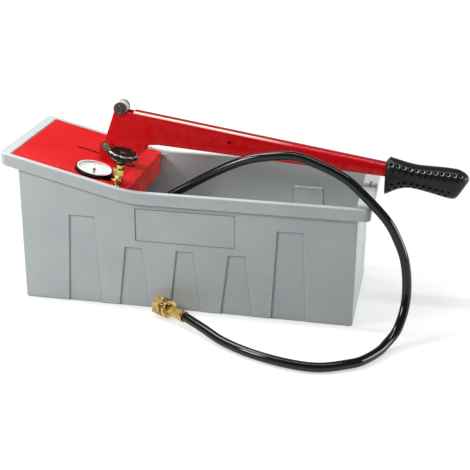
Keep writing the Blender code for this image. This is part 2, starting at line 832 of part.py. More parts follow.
def swept(points, radius, bore, sides=16):
    """A bent pipe with open ends, along a line in one upright plane."""
    outer, inner = [], []
    for index, point in enumerate(points):
        ahead = points[min(index + 1, len(points) - 1)] - points[max(index - 1, 0)]
        across = ahead.cross(Vector((0, 1, 0))).normalized()
        level = ahead.normalized().cross(across)
        for ring, reach in ((outer, radius), (inner, bore)):
            angles = [2 * math.pi * step / sides for step in range(sides)]
            ring.append([point + reach * (across * math.cos(a) + level * math.sin(a)) for a in angles])
    return loft(outer + inner[::-1], closed=True)


PIVOT = Vector((PIVOT_X, 0, PIVOT_Z))
ARM_END = PIVOT + Vector((ARM_X, 0, ARM_Z))
STOP = PIVOT + Vector((STOP_X, 0, STOP_Z))
LINK_SIDE = ARM_END.x - BARREL_X
LINK_TILT = math.asin(LINK_SIDE / LINK_LENGTH)
CROSSHEAD = Vector((BARREL_X, 0, ARM_END.z - LINK_LENGTH * math.cos(LINK_TILT)))
COVER_HALF = BORE_HALF_WIDTH - COVER_CLEARANCE
TAIL_DIRECTION = Vector((math.cos(math.radians(TAIL_RISE)), 0, math.sin(math.radians(TAIL_RISE))))
TAIL = Vector((TAIL_X, OUTLET_Y, TAIL_Z))
END_DIRECTION = Vector((math.cos(math.radians(END_TURN)), math.sin(math.radians(END_TURN)), 0))
END = Vector((END_X, END_Y, END_HEIGHT))

lever_axis = frame("lever_axis", Matrix.Translation(PIVOT))
stop_axis = frame("stop_axis", Matrix.Translation(STOP), lever_axis)
link_axis = frame("link_axis", Matrix.Translation(ARM_END) @ Matrix.Rotation(LINK_TILT, 4, "Y"), lever_axis)
plunger_axis = frame("plunger_axis", Matrix.Translation(CROSSHEAD))
valve_axis = frame("valve_axis", on_cover(VALVE_U, VALVE_Y))
wheel_axis = frame("wheel_axis", on_cover(VALVE_U, VALVE_Y, WHEEL_BOTTOM), valve_axis)
needle_axis = frame("needle_axis", on_cover(GAUGE_U, GAUGE_Y, NEEDLE_LOW))
nut_axis = frame("nut_axis", aimed(END, END_DIRECTION))
SUCTION_REACH = math.sqrt((SUCTION_BALL + GAP) ** 2 - SUCTION_SEAT_RADIUS ** 2)
SUCTION_CENTRE = Vector((BARREL_X, 0, SUCTION_SEAT_Z + SUCTION_REACH))
DELIVERY_REACH = math.sqrt((DELIVERY_BALL + GAP) ** 2 - DELIVERY_SEAT_RADIUS ** 2)
DELIVERY_CENTRE = Vector((BARREL_X, DELIVERY_Y, DELIVERY_SEAT_Z + DELIVERY_REACH))
suction_axis = frame("suction_axis", Matrix.Translation(SUCTION_CENTRE))
delivery_axis = frame("delivery_axis", Matrix.Translation(DELIVERY_CENTRE))


# Cover and its screws

def cover_plate():
    """The folded red sheet with its openings."""
    left_x = LEFT + COVER_MARGIN + COVER_CLEARANCE
    outer = FOLD_RADIUS + SHEET
    bend = (FOLD_X - outer, cover_top(FOLD_X - outer) - outer / math.cos(SLOPE))
    tilt = 90 - math.degrees(SLOPE)
    outline = [(left_x, cover_top(left_x))]
    outline += arc(bend, outer, tilt, 0)
    outline += [(FOLD_X, APRON_BOTTOM), (FOLD_X - SHEET, APRON_BOTTOM)]
    outline += arc(bend, FOLD_RADIUS, 0, tilt)
    outline += [(left_x, cover_top(left_x) - SHEET / math.cos(SLOPE))]
    plate = piece("cover_plate", prism(outline, -COVER_HALF, COVER_HALF), RED)
    for side in (-1, 1):
        centre = (left_x + COVER_CORNER, COVER_HALF - COVER_CORNER)
        corner = [(left_x - OVERRUN, COVER_HALF + OVERRUN), (left_x - OVERRUN, centre[1])]
        corner += arc(centre, COVER_CORNER, 180, 90) + [(centre[0], COVER_HALF + OVERRUN)]
        rings = [[Vector((x, side * y, z)) for x, y in corner] for z in (RIM_LOW, RIM_HIGH + OVERRUN)]
        boolean(plate, loft(rings))
        low_y, high_y = sorted((side * (COVER_HALF - APRON_SIDE_GAP), side * (COVER_HALF + OVERRUN)))
        notch = box((-2 * outer, low_y, APRON_BOTTOM - FOLD_Z - OVERRUN), (2 * outer, high_y, -SHEET))
        boolean(plate, place(notch, COVER))
        boolean(plate, box((EAR_SLOT_LEFT, side * EAR_SLOT_MIDDLE - EAR_SLOT_HALF, RIM_LOW),
                           (EAR_SLOT_RIGHT, side * EAR_SLOT_MIDDLE + EAR_SLOT_HALF, RIM_HIGH)))
        hole = on_cover(SCREW_U, side * SCREW_Y)
        boolean(plate, disc(SCREW_RADIUS + GAP, -OVERRUN, OVERRUN, 16, hole))
    boolean(plate, box((LINK_SLOT_LEFT, -LINK_SLOT_HALF, RIM_LOW),
                       (LINK_SLOT_RIGHT, LINK_SLOT_HALF, RIM_HIGH)))
    boolean(plate, box((GUIDE_SLOT_LEFT, GUIDE_SLOT_Y - GUIDE_SLOT_HALF, RIM_LOW),
                       (GUIDE_SLOT_RIGHT, GUIDE_SLOT_Y + GUIDE_SLOT_HALF, RIM_HIGH)))
    gauge_hole = disc(GAUGE_RADIUS + HOLE_CLEARANCE, -OVERRUN, OVERRUN, 40, on_cover(GAUGE_U, GAUGE_Y))
    boolean(plate, gauge_hole)
    boolean(plate, disc(VALVE_BODY_RADIUS + GAP, -OVERRUN, OVERRUN, 24, on_cover(VALVE_U, VALVE_Y)))


def cover_screws():
    """Two cross-recessed screws, one at each side of the fold."""
    profile = [(0, -SCREW_LENGTH), (SCREW_RADIUS, -SCREW_LENGTH), (SCREW_RADIUS, GAP),
               (SCREW_HEAD_RADIUS, GAP), (SCREW_HEAD_RADIUS, SCREW_HEAD / 2),
               (SCREW_CROWN_RADIUS, SCREW_HEAD), (0, SCREW_HEAD)]
    for name, side in (("cover_screw_near", -1), ("cover_screw_far", 1)):
        spot = on_cover(SCREW_U, side * SCREW_Y)
        screw = piece(name, turned(profile, 16, spot), STEEL)
        reach, half = SCREW_RECESS_REACH, SCREW_RECESS / 2
        cross = [(reach, half), (half, half), (half, reach), (-half, reach), (-half, half), (-reach, half)]
        cross += [(-x, -y) for x, y in cross]
        recess = loft([[Vector((x, y, z)) for x, y in cross] for z in (SCREW_HEAD / 2, SCREW_HEAD * 2)])
        boolean(screw, place(recess, spot))


def screw_bosses(shell):
    """Blocks on the tank's long walls that take the cover screws."""
    for side in (-1, 1):
        low_y, high_y = sorted((side * (BORE_HALF_WIDTH - BOSS_REACH), side * (BORE_HALF_WIDTH + BOSS_ROOT)))
        top = -SHEET - GAP - GAP / 3
        block = box((SCREW_U - BOSS_HALF, low_y, -BOSS_DEPTH), (SCREW_U + BOSS_HALF, high_y, top))
        boolean(shell, place(block, COVER), "UNION")
        hole = disc(SCREW_RADIUS + GAP, GAP - BOSS_DEPTH * 0.8, 0, 16, on_cover(SCREW_U, side * SCREW_Y))
        boolean(shell, hole)


# Lever, grip and the pieces on the lever's pins

def lever_top(x):
    """Top line of the lever at x."""
    return LEVER_TOP_Z - LEVER_TOP_FALL_SHARE * (x - LEVER_TOP_X)


def lever_low(x):
    """Bottom line of the lever at x."""
    return LEVER_LOW_Z - LEVER_LOW_FALL_SHARE * (x - LEVER_LOW_X)


def pin_hole(target, spot, radius=PIN_RADIUS + PIN_CLEARANCE, reach=3 * CHANNEL_HALF, sides=20):
    """A round hole along Y through a piece."""
    boolean(target, disc(radius, -reach, reach, sides, pivot_matrix(spot.x, spot.z)))


def lever():
    """Channel folded from one sheet, open underneath, with a lobe for the link and a stop corner."""
    pivot, arm, stop = (PIVOT.x, PIVOT.z), (ARM_END.x, ARM_END.z), (STOP.x, STOP.z)
    outline = [(LEVER_END_X, lever_low(LEVER_END_X)), (LEVER_END_X, lever_top(LEVER_END_X))]
    outline += [(WEB_START_X, lever_top(WEB_START_X)), (WEB_START_X, lever_top(WEB_START_X) - CHANNEL_WALL)]
    outline += [(WEB_NOTCH_X, lever_top(WEB_NOTCH_X) - CHANNEL_WALL)]
    outline += arc(stop, STOP_CORNER_RADIUS, -10, 161)
    outline += arc(pivot, HEEL_RADIUS, 106, 264)
    outline += arc(arm, LOBE_RADIUS, 264, 300)
    edge = reversed(LOBE_EDGE_SHARES)
    outline += [(ARM_END.x + LOBE_RADIUS * x, ARM_END.z + LOBE_RADIUS * z) for x, z in edge]
    outline += [(LEVER_LOW_X, LEVER_LOW_Z)]
    channel = piece("lever", prism(outline, -CHANNEL_HALF, CHANNEL_HALF), RED, lever_axis)
    inner = CHANNEL_HALF - CHANNEL_WALL
    above, below = lever_top(WEB_NOTCH_X) + HEEL_RADIUS * 4, lever_low(LEVER_END_X) - HEEL_RADIUS * 4
    left, right = PIVOT.x - HEEL_RADIUS * 4, LEVER_END_X + OVERRUN
    hollow = [(left, below), (right, below), (right, lever_top(right) - CHANNEL_WALL),
              (WEB_START_X, lever_top(WEB_START_X) - CHANNEL_WALL), (WEB_START_X, above), (left, above)]
    boolean(channel, prism(hollow, -inner, inner))
    pin_hole(channel, PIVOT, BUSH_RADIUS + PIN_CLEARANCE)
    pin_hole(channel, ARM_END)
    pin_hole(channel, STOP)
    pin_hole(channel, Vector((SMALL_HOLE_X, 0, SMALL_HOLE_Z)), SMALL_HOLE_RADIUS, sides=16)


def lever_grip():
    """Oval rubber grip pushed over the lever's end."""
    rings = []
    for along, under, over, across_share in GRIP_SECTION_SHARES:
        x = GRIP_START_X + GRIP_LENGTH * along
        low, high = GRIP_LOW + GRIP_HEIGHT * under, GRIP_LOW + GRIP_HEIGHT * over
        half = GRIP_HALF * across_share
        ring = []
        for step in range(GRIP_SIDES):
            turn = 2 * math.pi * (step + 0.5) / GRIP_SIDES
            across = math.copysign(abs(math.cos(turn)) ** GRIP_SQUARENESS_SHARE, math.cos(turn))
            up = math.copysign(abs(math.sin(turn)) ** GRIP_SQUARENESS_SHARE, math.sin(turn))
            ring.append(Vector((x, half * across, (low + high) / 2 + (high - low) / 2 * up)))
        rings.append(ring)
    grip = piece("lever_grip", loft(rings), BLACK, lever_axis)
    start, end = GRIP_START_X - OVERRUN, LEVER_END_X + GAP
    spare = GAP * 1.2
    pocket = [(start, lever_low(start) - spare), (end, lever_low(end) - spare),
              (end, lever_top(end) + spare), (start, lever_top(start) + spare)]
    boolean(grip, prism(pocket, -CHANNEL_HALF - GAP, CHANNEL_HALF + GAP))


def ring_pair(name, radius, bore, inner, outer, spot, material, parent=None):
    """Two equal rings on an axis along Y, one at each side."""
    matrix = pivot_matrix(spot.x, spot.z)
    piece(name + "_far", tube(radius, bore, inner, outer, 24, matrix), material, parent)
    piece(name + "_near", tube(radius, bore, -outer, -inner, 24, matrix), material, parent)


def cross_pin(half, radius=PIN_RADIUS):
    """Profile of a plain pin with chamfered ends."""
    trim = radius - PIN_CHAMFER
    return [(0, -half), (trim, -half), (radius, PIN_CHAMFER - half),
            (radius, half - PIN_CHAMFER), (trim, half), (0, half)]


def lever_pins():
    """Pivot pin with its bushes and clips, stop roller with its pin and washers, and the link's pin."""
    bore = PIN_RADIUS + PIN_CLEARANCE
    piece("pivot_pin", turned(cross_pin(PIVOT_PIN_HALF), 20, pivot_matrix(PIVOT.x, PIVOT.z)), STEEL)
    ring_pair("pivot_clip", CLIP_RADIUS, bore, CLIP_INNER, CLIP_OUTER, PIVOT, STEEL)
    ring_pair("pivot_bush", BUSH_RADIUS, bore, BUSH_INNER, BUSH_OUTER, PIVOT, BRASS, lever_axis)
    roller = tube(ROLLER_RADIUS, bore, -ROLLER_HALF, ROLLER_HALF, 24, pivot_matrix(STOP.x, STOP.z))
    piece("stop_roller", roller, NYLON, stop_axis)
    ring_pair("roller_washer", WASHER_RADIUS, bore, WASHER_INNER, WASHER_OUTER, STOP, BLACK, lever_axis)
    headed = [(0, -ROLLER_HEAD_OUTER), (ROLLER_HEAD_RADIUS - PIN_CHAMFER, -ROLLER_HEAD_OUTER),
              (ROLLER_HEAD_RADIUS, PIN_CHAMFER - ROLLER_HEAD_OUTER), (ROLLER_HEAD_RADIUS, -ROLLER_HEAD_INNER),
              (PIN_RADIUS, -ROLLER_HEAD_INNER)]
    headed += [(radius, -height) for radius, height in reversed(headed)]
    piece("roller_pin", turned(headed, 20, pivot_matrix(STOP.x, STOP.z)), STEEL, lever_axis)
    spot = pivot_matrix(ARM_END.x, ARM_END.z)
    piece("link_pin", turned(cross_pin(LINK_PIN_HALF), 20, spot), STEEL, lever_axis)


def link():
    """Cranked flat link. The crank lets it pass the pivot pin when the lever is up."""
    outline = arc((0, 0), LINK_EYE, -29, 225, 12)
    outline += [(LINK_INNER, -LINK_SHOULDER), (LINK_INNER, LINK_SHOULDER - LINK_LENGTH)]
    outline += arc((0, -LINK_LENGTH), LINK_EYE, 135, 389, 12)
    bar = place(prism(outline, -LINK_HALF, LINK_HALF), parent_world(link_axis))
    strap = piece("link", bar, STEEL, link_axis)
    spot = pivot_matrix(ARM_END.x, ARM_END.z)
    boolean(strap, disc(LINK_BOSS, -LINK_BOSS_HALF, LINK_BOSS_HALF, 24, spot), "UNION")
    pin_hole(strap, ARM_END)
    pin_hole(strap, CROSSHEAD)


# Plunger, barrel and head frame

def plunger():
    """Forked rod, its two stub pins, and the piston with its cup seal."""
    slot_low = CROSSHEAD.z - LINK_EYE - FORK_CLEARANCE
    base = slot_low - FORK_BASE
    piston_low = BLOCK_TOP + GAP + PISTON_REST_GAP
    piston_high = piston_low + PISTON_HEIGHT
    outline = [(BARREL_X - LINK_EYE, base), (BARREL_X + LINK_EYE, base)]
    outline += arc((BARREL_X, CROSSHEAD.z), LINK_EYE, 0, 180, 10)
    rod = piece("plunger_rod", prism(outline, -TINE_OUTER, TINE_OUTER), STEEL, plunger_axis)
    shaft = disc(ROD_RADIUS, piston_high - ROD_SOCKET + GAP, base + FORK_BASE / 2, 24, upright(BARREL_X, 0))
    boolean(rod, shaft, "UNION")
    boolean(rod, box((BARREL_X - FLANGE_HALF, -TINE_INNER, slot_low),
                     (BARREL_X + FLANGE_HALF, TINE_INNER, RIM_HIGH)))
    pin_hole(rod, CROSSHEAD, STUB_RADIUS + PIN_CLEARANCE)
    matrix = pivot_matrix(CROSSHEAD.x, CROSSHEAD.z)
    piece("fork_stub_near", disc(STUB_RADIUS, -STUB_OUTER, -STUB_INNER, 20, matrix), STEEL, plunger_axis)
    piece("fork_stub_far", disc(STUB_RADIUS, STUB_INNER, STUB_OUTER, 20, matrix), STEEL, plunger_axis)
    body = BORE_RADIUS - PISTON_CLEARANCE
    groove = SEAL_HEIGHT + 2 * GAP
    low = piston_low + SEAL_INSET
    profile = [(0, piston_low), (body, piston_low), (body, low), (body - SEAL_DEPTH, low)]
    profile += [(body - SEAL_DEPTH, low + groove), (body, low + groove), (body, piston_high)]
    profile += [(ROD_RADIUS + GAP, piston_high)]
    profile += [(ROD_RADIUS + GAP, piston_high - ROD_SOCKET), (0, piston_high - ROD_SOCKET)]
    piece("piston", turned(profile, 32, upright(BARREL_X, 0)), BRASS, plunger_axis)
    seal_bore = body - SEAL_DEPTH + GAP
    seal = tube(BORE_RADIUS - GAP, seal_bore, low + GAP, low + GAP + SEAL_HEIGHT, 32, upright(BARREL_X, 0))
    piece("piston_seal", seal, BLACK, plunger_axis)


def tie_spots():
    """Middle lines of the four long bolts."""
    corners = [(across, along) for across in (-1, 1) for along in (-1, 1)]
    return [upright(BARREL_X + across * TIE_OFFSET, along * TIE_OFFSET) for across, along in corners]


def stepped(low, steps, matrix, sides=24):
    """Cutter for a hole that changes width on its way up."""
    profile = [(0, low)]
    for radius, high in steps:
        profile += [(radius, low), (radius, high)]
        low = high
    return turned(profile + [(0, low)], sides, matrix)


def head_frame():
    """Flange on the barrel with two ears that rise through the cover to the lever's pivot."""
    body = box((BARREL_X - FLANGE_HALF, -FLANGE_HALF, FLANGE_BOTTOM),
               (BARREL_X + FLANGE_HALF, FLANGE_HALF, FLANGE_TOP))
    made = piece("head_frame", body, STEEL)
    foot, shoulder = FLANGE_TOP - OVERRUN / 2, FLANGE_TOP + EAR_SHOULDER_HEIGHT
    arch = FLANGE_TOP + EAR_ARCH_HEIGHT
    outline = [(BARREL_X + EAR_FOOT_HALF, foot), (BARREL_X + EAR_FOOT_HALF, shoulder)]
    outline += [(EAR_RIGHT_X, EAR_WAIST_Z)]
    outline += arc((PIVOT.x, PIVOT.z), EAR_ROUND, 0, 180, 12)
    outline += [(EAR_LEFT_X, EAR_WAIST_Z), (BARREL_X - EAR_FOOT_HALF, shoulder)]
    outline += [(BARREL_X - EAR_FOOT_HALF, foot)]
    outline += [(BARREL_X - EAR_ARCH_HALF, foot), (BARREL_X - EAR_ARCH_HALF, arch)]
    outline += [(BARREL_X + EAR_ARCH_HALF, arch), (BARREL_X + EAR_ARCH_HALF, foot)]
    for side in (-1, 1):
        low, high = sorted((side * EAR_INNER, side * EAR_OUTER))
        boolean(made, prism(outline, low, high), "UNION")
    for side in (-1, 1):
        low, high = sorted((side * (EAR_OUTER - GAP), side * TAB_OUTER))
        under = -SHEET - GAP
        tab = box((TAB_LEFT_U, low, under - TAB_THICKNESS), (TAB_RIGHT_U, high, under))
        boolean(made, place(tab, COVER), "UNION")
    pin_hole(made, PIVOT)
    low, high = FLANGE_BOTTOM - OVERRUN, FLANGE_TOP + OVERRUN
    steps = ((ROD_RADIUS + GAP, FLANGE_BOTTOM + FLANGE_LIP), (GLAND_SPIGOT + GAP, high))
    holes = [stepped(low, steps, upright(BARREL_X, 0))]
    holes += [disc(TIE_RADIUS + GAP, low, high, 16, spot) for spot in tie_spots()]
    boolean(made, joined(holes))


def barrel_group():
    """Barrel, gland nut, rod seal and the four long bolts that clamp the barrel to the valve block."""
    axis = upright(BARREL_X, 0)
    outer = BORE_RADIUS + BARREL_WALL
    piece("barrel", tube(outer, BORE_RADIUS, BLOCK_TOP + GAP, FLANGE_BOTTOM - GAP, 32, axis), BRASS)
    bore, top = ROD_RADIUS + GAP, FLANGE_TOP + GAP
    gland = [(bore, top - GAP - GLAND_DEPTH), (GLAND_SPIGOT, top - GAP - GLAND_DEPTH), (GLAND_SPIGOT, top),
             (GLAND_RADIUS, top), (GLAND_RADIUS, top + GLAND_HEIGHT), (bore, top + GLAND_HEIGHT)]
    piece("gland_nut", turned(gland, 24, axis), BRASS)
    seal_low = FLANGE_BOTTOM + FLANGE_LIP + GAP
    piece("rod_seal", tube(GLAND_SPIGOT, bore, seal_low, seal_low + ROD_SEAL_HEIGHT, 24, axis), BLACK)
    for number, spot in enumerate(tie_spots(), 1):
        bolt = piece(f"tie_bolt_{number}", disc(TIE_HEAD_RADIUS, top, top + TIE_HEAD_HEIGHT, 6, spot), STEEL)
        boolean(bolt, disc(TIE_RADIUS, TIE_TIP, top + TIE_HEAD_HEIGHT / 2, 16, spot), "UNION")


# Valve block, strainer, check valves and riser

def valve_block():
    """Foot block with the suction seat, the delivery seat and the passage between them."""
    body = box((BARREL_X - BLOCK_HALF_X, -BLOCK_NEAR, BLOCK_BOTTOM),
               (BARREL_X + BLOCK_HALF_X, BLOCK_FAR, BLOCK_TOP))
    block = piece("valve_block", body, BRASS)
    low, high = BLOCK_BOTTOM - OVERRUN, BLOCK_TOP + OVERRUN
    suction = ((SUCTION_SEAT_RADIUS, SUCTION_SEAT_Z), (SUCTION_BORE, high))
    delivery = ((DELIVERY_SEAT_RADIUS, DELIVERY_SEAT_Z), (DELIVERY_BORE, high))
    holes = [stepped(low, suction, upright(BARREL_X, 0))]
    holes += [stepped(DELIVERY_SEAT_FOOT, delivery, upright(BARREL_X, DELIVERY_Y))]
    holes += [disc(TIE_RADIUS + GAP, TIE_TIP - GAP, high, 16, spot) for spot in tie_spots()]
    boolean(block, joined(holes))
    boolean(block, disc(CROSS_RADIUS, DELIVERY_Y, -SUCTION_SEAT_RADIUS, 12, pivot_matrix(BARREL_X, CROSS_Z)))


def suction_side():
    """Strainer, suction ball and the ring that limits its lift."""
    axis = upright(BARREL_X, 0)
    top = BLOCK_BOTTOM - GAP
    inner, bore = STRAINER_RADIUS - STRAINER_WALL, STRAINER_SPIGOT - STRAINER_WALL
    profile = [(inner, STRAINER_BOTTOM), (STRAINER_RADIUS, STRAINER_BOTTOM), (STRAINER_RADIUS, top),
               (STRAINER_SPIGOT, top), (STRAINER_SPIGOT, STRAINER_SPIGOT_TOP), (bore, STRAINER_SPIGOT_TOP),
               (bore, top - STRAINER_PLATE), (inner, top - STRAINER_PLATE)]
    strainer = piece("suction_strainer", turned(profile, 24, axis), NYLON)
    cuts = []
    for step in range(STRAINER_SLOTS):
        turn = Matrix.Rotation(2 * math.pi * (step + 0.5) / STRAINER_SLOTS, 4, "Z")
        slot = box((inner - GAP * 3, -STRAINER_SLOT_HALF, STRAINER_BOTTOM - GAP),
                   (STRAINER_RADIUS + GAP * 3, STRAINER_SLOT_HALF, STRAINER_SLOT_TOP))
        cuts.append(place(slot, axis @ turn))
    boolean(strainer, joined(cuts))
    piece("suction_ball", ball(SUCTION_BALL, SUCTION_CENTRE), STEEL, suction_axis)
    ring = tube(SUCTION_BORE - GAP, RETAINER_HOLE, RETAINER_LOW, RETAINER_HIGH, 24, axis)
    piece("suction_retainer", ring, BRASS)


def delivery_side():
    """Delivery ball under its cap, and the pipe that rises to the manifold."""
    axis = upright(BARREL_X, DELIVERY_Y)
    piece("delivery_ball", ball(DELIVERY_BALL, DELIVERY_CENTRE), STEEL, delivery_axis)
    spigot, shoulder = DELIVERY_BORE - GAP, BLOCK_TOP + GAP
    body = turned([(0, CAP_SPIGOT_LOW), (spigot, CAP_SPIGOT_LOW), (spigot, shoulder), (CAP_RADIUS, shoulder),
                   (CAP_RADIUS, CAP_TOP), (0, CAP_TOP)], 24, axis)
    cap = piece("delivery_cap", body, BRASS)
    boolean(cap, disc(CAP_HEX_RADIUS, CAP_HEX_LOW, CAP_HEX_HIGH, 6, axis), "UNION")
    socket = CAP_TOP - RISER_SOCKET
    boolean(cap, turned([(0, CAP_SPIGOT_LOW - OVERRUN), (CAP_CAVITY, CAP_SPIGOT_LOW - OVERRUN),
                         (CAP_CAVITY, CAP_CEILING), (CAP_PORT, CAP_CEILING), (CAP_PORT, socket),
                         (RISER_RADIUS + GAP, socket), (RISER_RADIUS + GAP, CAP_TOP + OVERRUN),
                         (0, CAP_TOP + OVERRUN)], 24, axis))
    port = on_cover(RISER_PORT_U, RISER_PORT_Y, MANIFOLD_BOTTOM)
    start, up = Vector((BARREL_X, DELIVERY_Y, socket + GAP)), Vector((0, 0, 1))
    end, lean = port @ Vector((0, 0, RISER_SOCKET - GAP)), port.to_3x3() @ up
    reach = RISER_SOCKET + RISER_STRAIGHT
    bent = bend(start + up * reach, up, end - lean * reach, lean, RISER_STEP)
    route = [start, start + up * reach / 2] + bent + [end - lean * reach / 2, end]
    piece("riser_pipe", swept(route, RISER_RADIUS, RISER_BORE), BRASS)
    bore = RISER_RADIUS + HOLE_CLEARANCE
    lower = nut(RISER_NUT_RADIUS, bore, CAP_TOP + GAP, CAP_TOP + GAP + RISER_NUT_HEIGHT, axis)
    piece("riser_nut_lower", lower, BRASS)
    piece("riser_nut_upper", nut(RISER_NUT_RADIUS, bore, -GAP - RISER_NUT_HEIGHT, -GAP, port), BRASS)


# Manifold, gauge and shut-off valve

def manifold():
    """Brass block under the cover that joins the riser, the gauge, the valve and the outlet."""
    body = box((MANIFOLD_LEFT, MANIFOLD_NEAR, MANIFOLD_BOTTOM), (MANIFOLD_RIGHT, MANIFOLD_FAR, MANIFOLD_TOP))
    block = piece("manifold", place(body, COVER), BRASS)
    low, high = MANIFOLD_BOTTOM, MANIFOLD_TOP + OVERRUN
    gauge, valve = on_cover(GAUGE_U, GAUGE_Y), on_cover(VALVE_U, VALVE_Y)
    port = on_cover(RISER_PORT_U, RISER_PORT_Y)
    along = COVER @ Matrix.Translation((MANIFOLD_RIGHT, OUTLET_Y, GALLERY_W)) @ ALONG_X
    cuts = [
        disc(GAUGE_SPIGOT_RADIUS + GAP, MANIFOLD_TOP - GAUGE_SOCKET, high, 24, gauge),
        disc(VALVE_BODY_RADIUS + GAP, MANIFOLD_TOP - VALVE_SOCKET, high, 24, valve),
        disc(VALVE_DRAIN, low - OVERRUN, MANIFOLD_TOP - VALVE_SOCKET + OVERRUN, 12, valve),
        disc(RISER_RADIUS + GAP, low - OVERRUN, low + RISER_SOCKET, 16, port),
        disc(RISER_BORE, low + RISER_SOCKET / 2, GALLERY_W, 12, port),
        disc(ELBOW_RADIUS + GAP, -ELBOW_ENTRY - GAP, OVERRUN, 24, along),
        disc(GALLERY_RADIUS, GAUGE_U - MANIFOLD_RIGHT - GALLERY_RADIUS, -ELBOW_ENTRY, 12, along),
    ]
    for u, near in ((GAUGE_U, GAUGE_Y), (VALVE_U, VALVE_Y)):
        across = COVER @ Matrix.Translation((u, 0, GALLERY_W)) @ ALONG_Y
        start = near - GALLERY_RADIUS / 3
        cuts.append(disc(GALLERY_RADIUS * 0.9, start, RISER_PORT_Y + GALLERY_RADIUS, 10, across))
    boolean(block, joined(cuts), crossing=True)


def gauge():
    """Round pressure gauge: case, stem, bare dial with plain marks, needle and window."""
    spot = on_cover(GAUGE_U, GAUGE_Y)
    profile = [(0, GAUGE_BOTTOM), (GAUGE_RADIUS, GAUGE_BOTTOM), (GAUGE_RADIUS, GAUGE_TOP)]
    height = GAUGE_TOP
    steps = ((GAUGE_RIM_RADIUS, GAUGE_RIM_SEAT), (GAUGE_DISH_RADIUS, GAUGE_DISH_FLOOR),
             (GAUGE_BORE_RADIUS, GAUGE_BORE_FLOOR))
    for radius, floor in steps:
        profile += [(radius, height), (radius, floor)]
        height = floor
    piece("gauge_case", turned(profile + [(0, height)], 40, spot), BLACK)
    top, foot = GAUGE_BOTTOM - GAP, GAUGE_SPIGOT_LOW
    stem = piece("gauge_stem", disc(GAUGE_SPIGOT_RADIUS, foot, top, 24, spot), BRASS)
    hex_top = top - OVERRUN / 2
    boolean(stem, disc(GAUGE_HEX_RADIUS, hex_top - GAUGE_HEX_HEIGHT, hex_top, 6, spot), "UNION")
    boolean(stem, disc(RISER_BORE, foot - OVERRUN, top - OVERRUN, 12, spot))
    piece("gauge_dial", tube(DIAL_RADIUS, DIAL_HOLE, DIAL_LOW, DIAL_HIGH, 40, spot), WHITE)
    turn = spot @ Matrix.Rotation(math.radians(NEEDLE_REST), 4, "Z")
    corners = [(-NEEDLE_TAIL, -NEEDLE_HALF), (NEEDLE_LENGTH - NEEDLE_HALF, -NEEDLE_HALF), (NEEDLE_LENGTH, 0),
               (NEEDLE_LENGTH - NEEDLE_HALF, NEEDLE_HALF), (-NEEDLE_TAIL, NEEDLE_HALF)]
    blade = loft([[Vector((x, y, z)) for x, y in corners] for z in (NEEDLE_LOW, NEEDLE_HIGH)])
    pointer = piece("gauge_needle", place(blade, turn), BLACK, needle_axis)
    hub = turned([(0, NEEDLE_SHAFT_LOW), (NEEDLE_SHAFT, NEEDLE_SHAFT_LOW),
                  (NEEDLE_SHAFT, NEEDLE_LOW - GAP / 3), (NEEDLE_HUB, NEEDLE_LOW - GAP / 3),
                  (NEEDLE_HUB, NEEDLE_HIGH + GAP), (0, NEEDLE_HIGH + GAP)], 16, spot)
    boolean(pointer, hub, "UNION")
    piece("gauge_window", disc(WINDOW_RADIUS, WINDOW_LOW, WINDOW_HIGH, 40, spot), CLEAR)


